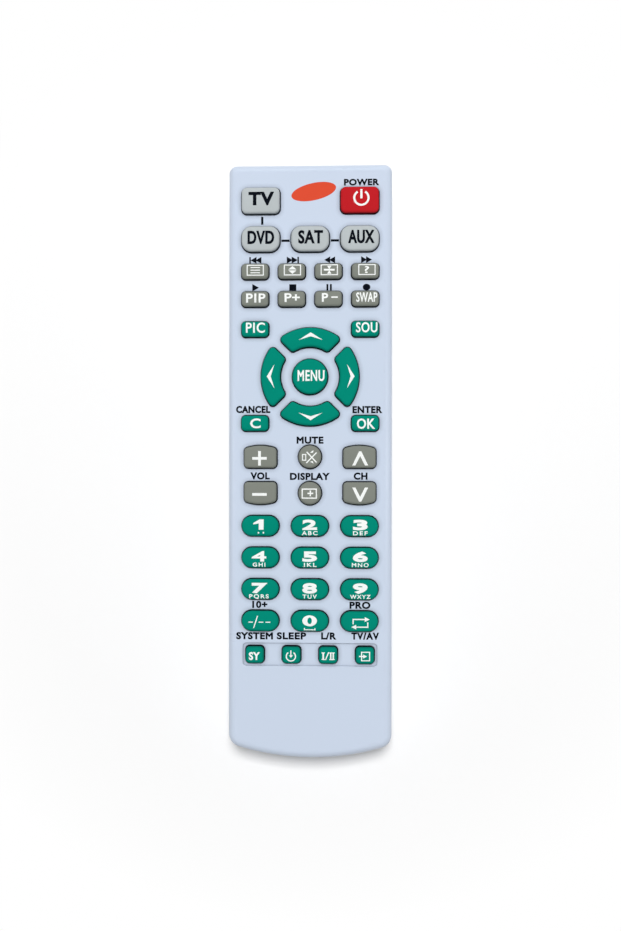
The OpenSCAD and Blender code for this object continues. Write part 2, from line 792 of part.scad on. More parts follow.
cell_edge = 0.4;
nub_r = 1.9;
nub_h = 0.9;
cell_back_y = bay_tail_y + contact_t + spring_l + 2 * seat_gap;
module battery_cells() {
    r = cell_d / 2;
    shoulder = cell_l - nub_h;
    profile = [
        [0, 0], [r - cell_edge, 0], [r, cell_edge], [r, shoulder - cell_edge], [r - cell_edge, shoulder],
        [nub_r, shoulder], [nub_r, cell_l], [0, cell_l],
    ];
    color("#3a4a5c") both_cells()
        translate([-cell_x, cell_back_y, cell_z]) rotate([-90, 0, 0]) rotate_extrude() polygon(profile);
}

// The spring: a cone of wire that winds from the contact to the cell, with a straight stub at each end
coil_r0 = 3.6;
coil_r1 = 2.2;
coil_rings = 8;
coil_sides = 6;
coil_y0 = bay_tail_y + contact_t + seat_gap;
coil_y1 = coil_y0 + spring_l;
COIL_STEPS = coil_rings * spring_turns;
function coil_at(t) =
    let (
        a = 360 * spring_turns * t,
        r = coil_r0 + (coil_r1 - coil_r0) * t,
        y = coil_y0 + 2 * spring_wire + (spring_l - 4 * spring_wire) * t
    )
    [-cell_x + r * cos(a), y, cell_z + r * sin(a)];
COIL = concat(
    [[-cell_x + coil_r0, coil_y0, cell_z], [-cell_x + coil_r0, coil_y0 + spring_wire, cell_z]],
    [for (i = [1 : COIL_STEPS - 1]) coil_at(i / COIL_STEPS)],
    [[-cell_x + coil_r1, coil_y1 - spring_wire, cell_z], [-cell_x + coil_r1, coil_y1, cell_z]]
);
function unit(v) = v / norm(v);
function way(path, i) = i == 0 || i == len(path) - 1 ? [0, 1, 0]
    : unit(unit(path[i + 1] - path[i]) + unit(path[i] - path[i - 1]));
function wire_ring(path, i, r) =
    let (
        t = way(path, i),
        spoke = [path[i][0] + cell_x, 0, path[i][2] - cell_z],
        u = unit(spoke - (spoke * t) * t),
        v = cross(t, u)
    )
    [for (s = [0 : coil_sides - 1]) let (a = 360 * s / coil_sides) path[i] + r * (cos(a) * u + sin(a) * v)];
function least_gap(path, apart) =
    min([
        for (i = [0 : len(path) - 1], j = [i + apart : 1 : len(path) - 1])
            norm(path[i] - path[j]) - spring_wire
    ]);
echo(spring_least_gap = least_gap(COIL, coil_rings / 2));

module battery_springs() {
    color(metal_colour) both_cells()
        skin([for (i = [0 : len(COIL) - 1]) wire_ring(COIL, i, spring_wire / 2)]);
}

// One link across both cells at the tail, and a separate contact with a solder tab for each cell at the head
module battery_contacts() {
    low_z = cell_z - contact_w / 2;
    high_z = cell_z + contact_w / 2;
    link_half = cell_x + contact_w / 2;
    color(metal_colour) {
        block([-link_half, bay_tail_y, low_z], [link_half, bay_tail_y + contact_t, high_z]);
        for (side = [-1, 1]) translate([side * cell_x, bay_head_y - contact_t, 0]) union() {
            block([-contact_w / 2, 0, low_z], [contact_w / 2, contact_t, high_z]);
            block([-contact_tab_w / 2, 0, cell_z], [contact_tab_w / 2, contact_t, board_z]);
        }
    }
}

face_cover();
base_cover();
battery_door();
keypad_mat();
circuit_board();
infrared_window();
infrared_emitter();
infrared_receiver();
mode_lamps();
control_chip();
clock_crystal();
supply_capacitor();
battery_springs();
battery_contacts();
battery_cells();
case_screws();
for (k = KEYS) key(k);
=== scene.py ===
"""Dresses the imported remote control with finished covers, keys, printed legends and a plain studio stage."""
import math
from collections import namedtuple

import bmesh
import bpy
from bpy.props import FloatProperty, FloatVectorProperty, IntProperty, PointerProperty
from bpy.types import Operator, Panel, PropertyGroup
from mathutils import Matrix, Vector
from mathutils.geometry import delaunay_2d_cdt


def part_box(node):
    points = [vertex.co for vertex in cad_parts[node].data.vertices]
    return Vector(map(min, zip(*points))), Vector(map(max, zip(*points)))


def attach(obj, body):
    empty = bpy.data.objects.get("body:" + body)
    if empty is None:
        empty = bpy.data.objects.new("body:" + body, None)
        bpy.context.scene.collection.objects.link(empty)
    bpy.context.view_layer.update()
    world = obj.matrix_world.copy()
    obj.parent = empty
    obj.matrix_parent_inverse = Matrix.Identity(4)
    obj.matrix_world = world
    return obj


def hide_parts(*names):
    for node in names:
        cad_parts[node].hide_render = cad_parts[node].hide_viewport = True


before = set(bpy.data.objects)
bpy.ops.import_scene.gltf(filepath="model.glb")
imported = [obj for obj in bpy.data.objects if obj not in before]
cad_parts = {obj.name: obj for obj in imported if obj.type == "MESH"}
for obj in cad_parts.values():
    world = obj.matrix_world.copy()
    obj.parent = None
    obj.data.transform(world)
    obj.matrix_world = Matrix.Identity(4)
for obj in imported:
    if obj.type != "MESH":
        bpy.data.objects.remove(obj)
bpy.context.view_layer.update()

bl_info = {
    "name": "Remote Control",
    "version": (1, 0, 0),
    "blender": (4, 5, 0),
    "location": "3D View > Sidebar > Remote",
    "description": "Models the covers, keys, legends and battery bay of a remote control around its frame",
    "category": "Object",
}

MM = 0.001
CASE_BODY = "case"
DOOR_BODY = "battery_door"
WHITE = (1, 1, 1, 1)

# Steps along round stretches
CORNER_STEPS = 8
BOW_STEPS = 24
ROUND_STEPS = 64
KEY_EDGE_STEPS = 6
CASE_EDGE_STEPS = 10
RIM_STEPS = 3
LETTER_STEPS = 4
SPRING_STEPS = 32
WIRE_SIDES = 12

# Limits that keep meshes clean
LEAST_CORNER = 0.15 * MM
LEAST_CASE_CORNER = 1.4 * MM
MERGE = 0.001 * MM
SUPPORT = 0.12 * MM
CROWN_PITCH = 1.1 * MM
FILL_TOLERANCE = 1e-5
LEAST_MITRE = 0.25
FLAT_ANGLE = math.radians(0.5)
SMOOTH_ANGLE = math.radians(38)
EDGE_ANGLE = math.radians(50)

# Flat ink: the height that marks its upper side, and the length that its edges are split to before it is laid
UPPER = 1.0
LAY_STEP = 0.6 * MM
LAY_ROUNDS = 5

# The letter that hangs below the line, the share of that which is left, and digits that heavy ink closes
HANGING = "J"
HANG_LEFT = 0.15
OPEN_DIGITS = "4"

# Taper of the cross in a screw's head, and how far each screw is turned on from the one before
RECESS_TAPER = 0.7
SCREW_TURN = math.radians(50)

# Cells: the share of the length that the coloured band takes, and bends as shares of the jacket's round
CELL_BAND = 0.22
CELL_SOFT = 0.3
CELL_RIM = 2.4

# Painted shade in the corners of the case, such as round the keys: its reach, how open a corner is where the
# shade is darkest, its strength and its rays
CORNER_SHADE_REACH = 1.8 * MM
CORNER_SHADE_OPEN = 0.5
CORNER_SHADE = 0.38
CORNER_SHADE_SAMPLES = 8

# Height above the key face over which painted shade darkens a key towards its foot
FOOT_SHADE_REACH = 1.35 * MM

# Finishes of the case, the ink and the rubber
BUMP_STRENGTH = 0.5
LEAST_ROUGHNESS = 0.02
LOOKS = {
    "case": {"roughness": 0.28, "grain": 3200, "depth": 0.006, "patch": 35, "change": 0.012, "sheen": 0.012},
    "ink": {
        "roughness": 0.5, "grain": 5000, "depth": 0.006, "patch": 400, "change": 0.03,
        "specular_ior_level": 0.05,
    },
    "rubber": {
        "roughness": 0.5, "grain": 4200, "depth": 0.012, "patch": 160, "change": 0.05,
        "specular_ior_level": 0.02,
    },
}

# Keys by outline and finish
KEY_SETS = (
    ("power", "light_keys", "tv"),
    ("power", "red_key", "power"),
    ("source", "light_keys", "disc satellite auxiliary"),
    ("small", "grey_keys", "text text_size text_hold text_reveal inset program_up program_down swap"),
    ("small", "green_keys", "picture sound cancel ok"),
    ("arc", "green_keys", "up left down right"),
    ("round", "green_keys", "menu"),
    ("bow_up", "grey_keys", "volume_up channel_up"),
    ("bow_down", "grey_keys", "volume_down channel_down"),
    ("round", "grey_keys", "mute display"),
    ("pill", "green_keys", "digit_1 digit_2 digit_3 digit_4 digit_5 digit_6 digit_7 digit_8 digit_9"),
    ("pill", "green_keys", "dash digit_0 recall"),
    ("system", "green_keys", "system sleep audio input"),
)
KEY_KINDS = {f"{name}_key": (kind, slot) for kind, slot, names in KEY_SETS for name in names.split()}
SYSTEM_KEYS = [node for node, (kind, _) in KEY_KINDS.items() if kind == "system"]
ARC_TURNS = {"up_key": 0, "left_key": 90, "down_key": 180, "right_key": 270}

KeyForm = namedtuple("KeyForm", "node kind slot centre size top")

# Lettering: its width, cap height and middle, the weight that thickens it, and the space of its letters
Words = namedtuple("Words", "text width cap x y weight space", defaults=(0.06, 1.0))


def size(name, description, millimetres):
    """A length that a user can change, given in millimetres."""
    return FloatProperty(
        name=name, description=description, default=millimetres * MM,
        unit="LENGTH", subtype="DISTANCE", precision=5,
    )


def colour(name, description, red, green, blue):
    """A colour that a user can change, given as it looks on a screen, from 0 to 255."""
    values = [screen_to_linear(value / 255) for value in (red, green, blue)]
    return FloatVectorProperty(
        name=name, description=description, default=values, subtype="COLOR", min=0, max=1
    )


def power(name, description, watts):
    """A lamp's power that a user can change."""
    return FloatProperty(name=name, description=description, default=watts, unit="POWER")


def screen_to_linear(value):
    """The light that a screen value stands for."""
    return value / 12.92 if value <= 0.04045 else ((value + 0.055) / 1.055) ** 2.4


class CaseSizes(PropertyGroup):
    """Sizes of the covers."""

    wall: size("Wall", "Thickness of the side walls", 1.6)
    face_wall: size("Face wall", "Thickness of the key face", 2.0)
    face_round: size("Face round", "Round between the key face and the sides", 2.2)
    head_corner: size("Head corner", "Plan radius of the corners at the infrared end", 2.4)
    tail_corner: size("Tail corner", "Plan radius of the corners at the tail", 4.2)
    tail_bow: size("Tail bow", "How far the tail bows out past its corners", 4.1)
    seam_chamfer: size("Seam chamfer", "Chamfer along the seam", 0.15)
    rim_round: size("Rim round", "Round along the rim of a key opening", 0.18)
    edge: size("Edge", "Round along the edges of the base cover and the battery door", 0.12)
    window_height: size("Window height", "Height of the infrared window's visible face", 6.0)
    window_edge: size("Window edge", "Round along the edges of the infrared window", 0.25)
    window_gap: size("Window gap", "Gap between the infrared window and its opening", 0.1)
    panel_depth: size("Panel depth", "Depth of the panel that the system keys sit in", 0.5)
    panel_border: size("Panel border", "Border of that panel around the system keys", 0.9)
    panel_corner: size("Panel corner", "Corner radius of that panel", 1.0)


class KeySizes(PropertyGroup):
    """Sizes of the keys."""

    gap: size("Gap", "Gap between a key and its opening", 0.25)
    edge_round: size("Edge round", "Round along the top edge of a key", 0.8)
    crown: size("Crown", "How far the edge of a key's top lies below its middle", 0.1)
    skirt_reach: size("Skirt reach", "How far a key's skirt reaches out under the key face", 0.6)
    skirt_thickness: size("Skirt thickness", "Thickness of the skirt", 0.8)
    skirt_gap: size("Skirt gap", "Gap between the skirt and the key face", 0.1)
    pill_radius: size("Pill radius", "Radius of the carbon pill under a key", 1.6)
    power_corner: size("Power corner", "Corner radius of the power and television keys", 1.6)
    source_corner: size("Source corner", "Corner radius of the source keys", 3.0)
    small_corner: size("Small corner", "Corner radius of the text, picture and cancel keys", 1.2)
    system_corner: size("System corner", "Corner radius of the system keys", 1.2)
    bow_corner: size("Bow corner", "Corner radius of the volume and channel keys", 1.2)
    bow: size("Bow", "How far the outer edge of a volume or channel key bows out", 0.9)
    ring_inner: size("Ring inner", "Inner radius of the arrow ring", 9.1)
    ring_outer: size("Ring outer", "Outer radius of the arrow ring", 14.9)
    ring_gap: size("Ring gap", "Gap between neighbouring arrow keys", 2.8)
    ring_corner: size("Ring corner", "Corner radius of the arrow keys", 1.2)


class PrintSizes(PropertyGroup):
    """Sizes of the printed legends."""

    proud: size("Proud", "Height of the ink above the surface", 0.03)
    sunk: size("Sunk", "Depth that the ink is keyed into the surface", 0.08)


class BaySizes(PropertyGroup):
    """Sizes of the springs, cells and screws."""

    wire: size("Wire", "Diameter of the spring wire", 0.5)
    coil_base: size("Coil base", "Radius of a spring at its contact", 3.6)
    coil_tip: size("Coil tip", "Radius of a spring at its cell", 2.2)
    spring_length: size("Spring length", "Length of a spring between its contact and its cell", 5.0)
    cell_length: size("Cell length", "Length of a cell with its nub", 44.5)
    cell_edge: size("Cell edge", "Round of a cell's jacket at its ends", 0.4)
    nub_radius: size("Nub radius", "Radius of a cell's nub", 1.9)
    nub_height: size("Nub height", "Height of a cell's nub", 0.9)
    shank_radius: size("Shank radius", "Radius of a screw's shank", 1.0)
    head_height: size("Head height", "Height of a screw's head", 1.35)
    head_edge: size("Head edge", "Chamfer round a screw's head", 0.2)
    thread_pitch: size("Thread pitch", "Distance between the ridges of a screw's thread", 0.8)
    thread_depth: size("Thread depth", "Depth of the thread", 0.22)
    recess_reach: size("Recess reach", "Reach of the cross in a screw's head from its middle", 1.1)
    recess_width: size("Recess width", "Width of the cross in a screw's head", 0.6)
    recess_depth: size("Recess depth", "Depth of the cross in a screw's head", 0.8)
    turns: IntProperty(name="Turns", description="Turns of a spring", default=3, min=1, max=6)


class Finishes(PropertyGroup):
    """Colours of the finishes."""

    case_plastic: colour("Case plastic", "Both covers and the battery door", 203, 215, 233)
    green_keys: colour("Green keys", "Digit, arrow and function keys", 4, 138, 118)
    grey_keys: colour("Grey keys", "Text, volume and channel keys", 132, 136, 128)
    light_keys: colour("Light keys", "Source keys", 187, 194, 196)
    red_key: colour("Red key", "Power key", 193, 34, 41)
    white_ink: colour("White ink", "Legends on green, grey and red keys", 246, 249, 247)
    dark_ink: colour("Dark ink", "Legends on the case and on light keys", 4, 8, 17)
    # Painted shade: a dark colour on the walls of the key openings, which the keys' feet and the case's
    # corners are also blended towards
    gap_shade: colour("Gap shade", "Walls of the key openings and the feet of the keys", 15, 18, 29)
    badge_ink: colour("Badge ink", "Oval near the head", 222, 80, 54)


# Outlines: lists of points that run anticlockwise


def arc(centre, radius, start, end, steps):
    """Points along an arc, with its angles in degrees."""
    angles = [math.radians(start + (end - start) * i / steps) for i in range(steps + 1)]
    return [Vector((centre[0] + radius * math.cos(a), centre[1] + radius * math.sin(a))) for a in angles]


def box_outline(extent, corner, grow=0.0):
    """A rectangle with round corners, grown by the given amount."""
    radius = max(corner + grow, LEAST_CORNER)
    x = extent[0] / 2 + grow - radius
    y = extent[1] / 2 + grow - radius
    middles = ((x, -y), (x, y), (-x, y), (-x, -y))
    return [p for i, c in enumerate(middles) for p in arc(c, radius, 90 * i - 90, 90 * i, CORNER_STEPS)]


def bowed_outline(extent, far, near, bow, grow, least, stops=()):
    """The same with its -Y end bowed out; stops are extra places along its +Y end."""
    big = (extent[0] ** 2 / 4 + bow**2) / (2 * bow)
    big_y = big - extent[1] / 2
    far = max(far + grow, least)
    near = max(near + grow, least)
    near_x = extent[0] / 2 + grow - near
    near_y = big_y - math.sqrt((big + grow - near) ** 2 - near_x**2)
    lean = math.degrees(math.atan2(near_y - big_y, near_x))
    far_x = extent[0] / 2 + grow - far
    far_y = extent[1] / 2 + grow - far
    step = (180 + 2 * lean) / BOW_STEPS
    return (
        arc((0, big_y), big + grow, step - 180 - lean, lean - step, BOW_STEPS - 2)
        + arc((near_x, near_y), near, lean, 0, CORNER_STEPS)
        + arc((far_x, far_y), far, 0, 90, CORNER_STEPS)
        + [Vector((x, far_y + far)) for x in stops]
        + arc((-far_x, far_y), far, 90, 180, CORNER_STEPS)
        + arc((-near_x, near_y), near, 180, 180 - lean, CORNER_STEPS)
    )


def ring_outline(keys, grow):
    """A quarter of the arrow ring, pointing along +Y."""
    corner = max(keys.ring_corner + grow, LEAST_CORNER)
    side = keys.ring_gap / 2 - grow + corner
    outer = keys.ring_outer + grow
    inner = keys.ring_inner - grow
    out_angle = 45 + math.degrees(math.asin(side / (outer - corner)))
    in_angle = 45 + math.degrees(math.asin(side / (inner + corner)))
    out_mid = arc((0, 0), outer - corner, out_angle, 180 - out_angle, 1)
    in_mid = arc((0, 0), inner + corner, in_angle, 180 - in_angle, 1)
    out_step = (180 - 2 * out_angle) / BOW_STEPS
    in_step = (180 - 2 * in_angle) / BOW_STEPS
    return (
        arc(out_mid[0], corner, -45, out_angle, CORNER_STEPS)
        + arc((0, 0), outer, out_angle + out_step, 180 - out_angle - out_step, BOW_STEPS - 2)
        + arc(out_mid[1], corner, 180 - out_angle, 225, CORNER_STEPS)
        + arc(in_mid[1], corner, 225, 360 - in_angle, CORNER_STEPS)
        + arc((0, 0), inner, 180 - in_angle - in_step, in_angle + in_step, BOW_STEPS - 2)
        + arc(in_mid[0], corner, 180 + in_angle, 315, CORNER_STEPS)
    )


def round_outline(radius):
    """A circle."""
    return arc((0, 0), radius, 0, 360 - 360 / ROUND_STEPS, ROUND_STEPS - 1)


def turned(points, degrees):
    """The points turned about the origin."""
    turn = math.radians(degrees)
    return [Vector((p.x * math.cos(turn) - p.y * math.sin(turn), p.x * math.sin(turn) + p.y * math.cos(turn)))
            for p in points]


def moved(points, by):
    """The points moved by a vector."""
    return [p + by for p in points]


def at(points, z):
    """The points at a height."""
    return [Vector((p.x, p.y, z)) for p in points]


def key_form(keys, node):
    """What a key's outline follows from: its kind, its middle, its size without the skirt and its top."""
    kind, slot = KEY_KINDS[node]
    low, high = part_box(node)
    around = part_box("menu_key") if kind == "arc" else (low, high)
    centre = ((around[0] + around[1]) / 2).xy
    extent = (high - low).xy - 2 * keys.skirt_reach * Vector((1, 1))
    return KeyForm(node, kind, slot, centre, extent, high.z)


def key_outline(keys, form, grow):
    """A key's outline in its place, grown by the given amount."""
    if form.kind == "arc":
        points = turned(ring_outline(keys, grow), ARC_TURNS[form.node])
    elif form.kind == "round":
        points = round_outline(form.size.x / 2 + grow)
    elif form.kind == "pill":
        points = box_outline(form.size, form.size.y / 2, grow)
    elif form.kind in ("bow_up", "bow_down"):
        points = bowed_outline(form.size, keys.bow_corner, keys.bow_corner, keys.bow, grow, LEAST_CORNER)
        points = turned(points, 180) if form.kind == "bow_up" else points
    else:
        points = box_outline(form.size, getattr(keys, f"{form.kind}_corner"), grow)
    return moved(points, form.centre)


def crown_drop(keys, form, point):
    """How far a key's top lies below its highest point, at a place in plan."""
    away = point - form.centre
    if form.kind == "arc":
        middle = (keys.ring_inner + keys.ring_outer) / 2
        half = (keys.ring_outer - keys.ring_inner) / 2 - keys.edge_round
        return keys.crown * ((away.length - middle) / half) ** 2
    half = form.size / 2 - keys.edge_round * Vector((1, 1))
    return keys.crown * ((away.x / half.x) ** 2 + (away.y / half.y) ** 2)


def case_outline(case, inset, stops):
    """The outline of the case, drawn in by the given amount."""
    low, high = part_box("face_cover")
    return bowed_outline(
        (high - low).xy, case.head_corner, case.tail_corner, case.tail_bow, -inset, LEAST_CASE_CORNER, stops
    )


# Meshes


def area(loop):
    """The area inside a loop, less than nothing if it runs clockwise."""
    return sum(a.cross(b) for a, b in zip(loop, loop[1:] + loop[:1])) / 2


def turns_round(point, loop):
    """How often a loop runs anticlockwise round a point."""
    turns = 0
    for a, b in zip(loop, loop[1:] + loop[:1]):
        if (a.y > point.y) != (b.y > point.y):
            if point.x < a.x + (point.y - a.y) * (b.x - a.x) / (b.y - a.y):
                turns += 1 if b.y > a.y else -1
    return turns


def facing(loop, way):
    """The loop, made to run anticlockwise for +1 and clockwise for -1."""
    return loop if area(loop) * way > 0 else loop[::-1]


def fill(shapes, extra=()):
    """Points and triangles that cover the union of flat shapes, each a list of an outline and its holes."""
    loops = [facing(loop, -1 if i else 1) for shape in shapes for i, loop in enumerate(shape)]
    return fill_loops(loops, extra)


def fill_loops(loops, extra=()):
    """The same for loops that run anticlockwise round what they cover and clockwise round holes."""
    scaled = [[p / MM for p in loop] for loop in loops]
    points = []
    edges = []
    for loop in scaled:
        first = len(points)
        points += loop
        edges += [(first + i, first + (i + 1) % len(loop)) for i in range(len(loop))]
    points += [p / MM for p in extra]
    made, _, faces, *_ = delaunay_2d_cdt(points, edges, [], 0, FILL_TOLERANCE)
    kept = []
    for face in faces:
        middle = sum((made[i] for i in face), Vector((0, 0))) / len(face)
        if sum(turns_round(middle, loop) for loop in scaled) > 0:
            kept.append(face)
    return [p * MM for p in made], kept


def add_sheet(bm, points, faces, z):
    """Adds flat faces at a height."""
    verts = [bm.verts.new((p.x, p.y, z)) for p in points]
    for face in faces:
        bm.faces.new([verts[i] for i in face])
    return verts


def add_flat(bm, loops, z, extra=()):
    """Covers what lies inside the first loop and outside the others at a height, and counts the faces."""
    points, faces = fill([loops], extra)
    add_sheet(bm, points, faces, z)
    return len(faces)


def loft(bm, rings, gap=None):
    """Adds faces between rings of equally many points; gap leaves out the stretch that starts there."""
    made = [[bm.verts.new(p) for p in ring] for ring in rings]
    count = len(rings[0])
    for low, high in zip(made, made[1:]):
        for i in range(count):
            if i != gap:
                j = (i + 1) % count
                bm.faces.new((low[i], low[j], high[j], high[i]))
    return made


def round_steps(radius, steps):
    """How far a quarter round has come in and how far it has come down, from its top to its side."""
    angles = [math.pi / 2 * i / steps for i in range(steps + 1)]
    return [(radius * math.sin(a), radius * (1 - math.cos(a))) for a in angles]


def add_object(name, data):
    """A new object in the scene."""
    made = bpy.data.objects.new(name, data)
    bpy.context.scene.collection.objects.link(made)
    return made


def plain_mesh(holder, name):
    """The evaluated mesh of an object, which is then removed."""
    bpy.context.view_layer.update()
    mesh = bpy.data.meshes.new_from_object(holder.evaluated_get(bpy.context.evaluated_depsgraph_get()))
    mesh.name = name
    holder.modifiers.clear()
    bpy.data.objects.remove(holder)
    return mesh


def smooth(mesh):
    """Shades a mesh smooth, apart from its sharp edges."""
    mesh.polygons.foreach_set("use_smooth", [True] * len(mesh.polygons))
    mesh.set_sharp_from_angle(angle=SMOOTH_ANGLE)


def make_piece(name, bm, finishes, body, stands_for=(), outwards=True):
    """Turns a mesh in the making into a finished piece on its body."""
    bmesh.ops.remove_doubles(bm, verts=bm.verts, dist=MERGE)
    bmesh.ops.dissolve_degenerate(bm, edges=bm.edges, dist=MERGE)
    if outwards:
        bmesh.ops.recalc_face_normals(bm, faces=bm.faces)
    mesh = bpy.data.meshes.new(name)
    bm.to_mesh(mesh)
    bm.free()
    smooth(mesh)
    for made in finishes:
        mesh.materials.append(made)
    return place_piece(name, mesh, body, stands_for)


def place_piece(name, mesh, body, stands_for=()):
    """Puts a mesh into the scene as a piece that rides on a body."""
    piece = add_object(name, mesh)
    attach(piece, body)
    if stands_for:
        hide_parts(*stands_for)
    return piece


# Nodes and finishes


def set_inputs(tree, node, inputs):
    """Gives each input of a node a value, or a link from another node's output."""
    for socket, value in inputs.items():
        if isinstance(value, bpy.types.NodeSocket):
            tree.links.new(value, node.inputs[socket])
        else:
            node.inputs[socket].default_value = value


def add_node(tree, kind, inputs, **settings):
    """Adds a node with its settings and its inputs."""
    node = tree.nodes.new(kind)
    for name, value in settings.items():
        setattr(node, name, value)
    set_inputs(tree, node, inputs)
    return node


def shader_group(name, inputs, build):
    """A shader node group, made once; build is given its tree and inputs, and returns what it puts out."""
    if name in bpy.data.node_groups:
        return bpy.data.node_groups[name]
    tree = bpy.data.node_groups.new(name, "ShaderNodeTree")
    for label, kind in inputs.items():
        tree.interface.new_socket(label, in_out="INPUT", socket_type=f"NodeSocket{kind}")
    results = build(tree, tree.nodes.new("NodeGroupInput").outputs)
    for label in results:
        tree.interface.new_socket(label, in_out="OUTPUT", socket_type="NodeSocketFloat")
    add_node(tree, "NodeGroupOutput", results)
    return tree


def moulded_grain():
    """The fine spark-eroded grain that a mould leaves on plastic."""

    def build(tree, given):
        place = {"Vector": given["Vector"], "Scale": given["Scale"]}
        cells = add_node(tree, "ShaderNodeTexVoronoi", place)
        speck = add_node(tree, "ShaderNodeTexNoise", {**place, "Detail": 3})
        both = {0: cells.outputs["Distance"], 1: speck.outputs["Fac"]}
        return {"Height": add_node(tree, "ShaderNodeMath", both, operation="MULTIPLY").outputs[0]}

    return shader_group("moulded_grain", {"Vector": "Vector", "Scale": "Float"}, build)


def handling_marks():
    """Soft, uneven patches where hands have polished or dulled a surface."""

    def build(tree, given):
        place = {"Vector": given["Vector"], "Scale": given["Scale"]}
        stretch = add_node(tree, "ShaderNodeMapping", {"Vector": given["Vector"], "Scale": (1, 6, 1)})
        along = {**place, "Vector": stretch.outputs["Vector"]}
        patch = add_node(tree, "ShaderNodeTexNoise", {**place, "Detail": 4, "Roughness": 0.6})
        streak = add_node(tree, "ShaderNodeTexNoise", {**along, "Detail": 2})
        return {"Patch": patch.outputs["Fac"], "Streak": streak.outputs["Fac"]}

    return shader_group("handling_marks", {"Vector": "Vector", "Scale": "Float"}, build)


def foot_shade():
    """A mask for painted shade that grows from nothing at a height above a level to one at that level and
    below.
    """

    def build(tree, given):
        height = add_node(tree, "ShaderNodeSeparateXYZ", {"Vector": given["Vector"]}).outputs["Z"]
        ends = {0: given["Level"], 1: given["Reach"]}
        upper = add_node(tree, "ShaderNodeMath", ends, operation="ADD").outputs[0]
        fade = {"Value": height, "From Min": upper, "From Max": given["Level"]}
        return {"Mask": add_node(tree, "ShaderNodeMapRange", fade).outputs["Result"]}

    return shader_group("foot_shade", {"Vector": "Vector", "Level": "Float", "Reach": "Float"}, build)


def add_group(tree, group, vector, **values):
    """Places a node group in a material, on the given coordinates and with its other inputs set."""
    return add_node(tree, "ShaderNodeGroup", {"Vector": vector, **values}, node_tree=group)


def shade(tint, share):
    """A colour made darker or lighter by a share, with full alpha."""
    return (*[min(1.0, value * (1 + share)) for value in tint[:3]], 1.0)


def surface(name, tint, roughness, grain=2600, depth=0.02, patch=90, change=0.04, sheen=0.06, **settings):
    """A material with moulded grain and handling marks; settings go on the shader's own sockets."""
    label = f"{name}_finish"
    if label in bpy.data.materials:
        return bpy.data.materials[label]
    made = bpy.data.materials.new(label)
    made.use_nodes = True
    tree = made.node_tree
    place = tree.nodes.new("ShaderNodeTexCoord").outputs["Object"]
    marks = add_group(tree, handling_marks(), place, Scale=patch).outputs
    fine = add_group(tree, moulded_grain(), place, Scale=grain).outputs
    tones = {"A": shade(tint, -change), "B": shade(tint, change), "Factor": marks["Patch"]}
    least = max(roughness - sheen, LEAST_ROUGHNESS)
    polish = {"Value": marks["Streak"], "To Min": least, "To Max": roughness + sheen}
    bump = {"Strength": BUMP_STRENGTH, "Distance": depth * MM, "Height": fine["Height"]}
    sockets = {
        "Base Color": add_node(tree, "ShaderNodeMix", tones, data_type="RGBA").outputs["Result"],
        "Roughness": add_node(tree, "ShaderNodeMapRange", polish).outputs["Result"],
        "Normal": add_node(tree, "ShaderNodeBump", bump).outputs["Normal"],
    }
    for setting, value in settings.items():
        sockets[setting.replace("_", " ").title().replace("Ior", "IOR")] = value
    set_inputs(tree, tree.nodes["Principled BSDF"], sockets)
    return made


def finish(name):
    """The material of one of the colours that a user can change."""
    tint = getattr(bpy.context.scene.remote_finishes, name)
    if name == "case_plastic":
        # The case gets painted shade in its corners, such as round the keys
        return with_painted_shade(surface(name, tint, **LOOKS["case"]), corner_shade_mask)
    if name.endswith("_ink"):
        return surface(name, tint, **LOOKS["ink"])
    # Keys get painted shade towards their feet; the gap colour is itself painted shade
    rubber = surface(name, tint, **LOOKS["rubber"])
    return rubber if name == "gap_shade" else with_painted_shade(rubber, foot_shade_mask)


def with_painted_shade(made, add_shade_mask):
    """A finish that is blended once towards the painted shade of the gaps, by a mask that is added to its
    tree.
    """
    tree = made.node_tree
    if "Darkened" not in tree.nodes:
        base = tree.nodes["Principled BSDF"].inputs["Base Color"]
        dark = shade(bpy.context.scene.remote_finishes.gap_shade, 0)
        tones = {"A": base.links[0].from_socket, "B": dark, "Factor": add_shade_mask(tree)}
        blend = add_node(tree, "ShaderNodeMix", tones, name="Darkened", data_type="RGBA")
        tree.links.new(blend.outputs["Result"], base)
    return made


def foot_shade_mask(tree):
    """Marks the foot of a key, where it goes down into its opening, for painted shade."""
    place = tree.nodes["Texture Coordinate"].outputs["Object"]
    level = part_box("face_cover")[1].z
    return add_group(tree, foot_shade(), place, Level=level, Reach=FOOT_SHADE_REACH).outputs["Mask"]


def corner_shade_mask(tree):
    """Marks the corners of the case, such as those round the keys, for painted shade where they are hemmed in.
    """
    near = add_node(tree, "ShaderNodeAmbientOcclusion", {"Distance": CORNER_SHADE_REACH}, samples=CORNER_SHADE_SAMPLES)
    ends = {"From Min": 1, "From Max": CORNER_SHADE_OPEN, "To Min": 0, "To Max": CORNER_SHADE}
    return add_node(tree, "ShaderNodeMapRange", {"Value": near.outputs["AO"], **ends}).outputs["Result"]


# Pieces inside the case: colour, roughness and settings of the shader
INNER_FINISHES = {
    "keypad_mat": ((0.30, 0.33, 0.33), 0.7, {}),
    "infrared_emitter": ((0.42, 0.5, 0.62), 0.12, {"transmission_weight": 0.6, "ior": 1.5}),
    "infrared_receiver": ((0.02, 0.016, 0.024), 0.15, {"coat_weight": 0.4}),
    "mode_lamps": ((0.85, 0.8, 0.62), 0.3, {}),
    "control_chip": ((0.016, 0.017, 0.019), 0.55, {}),
    "clock_crystal": ((0.62, 0.63, 0.65), 0.25, {"metallic": 1.0}),
    "supply_capacitor": ((0.02, 0.035, 0.06), 0.3, {"coat_weight": 0.3}),
    "battery_contacts": ((0.72, 0.72, 0.7), 0.28, {"metallic": 1.0}),
}


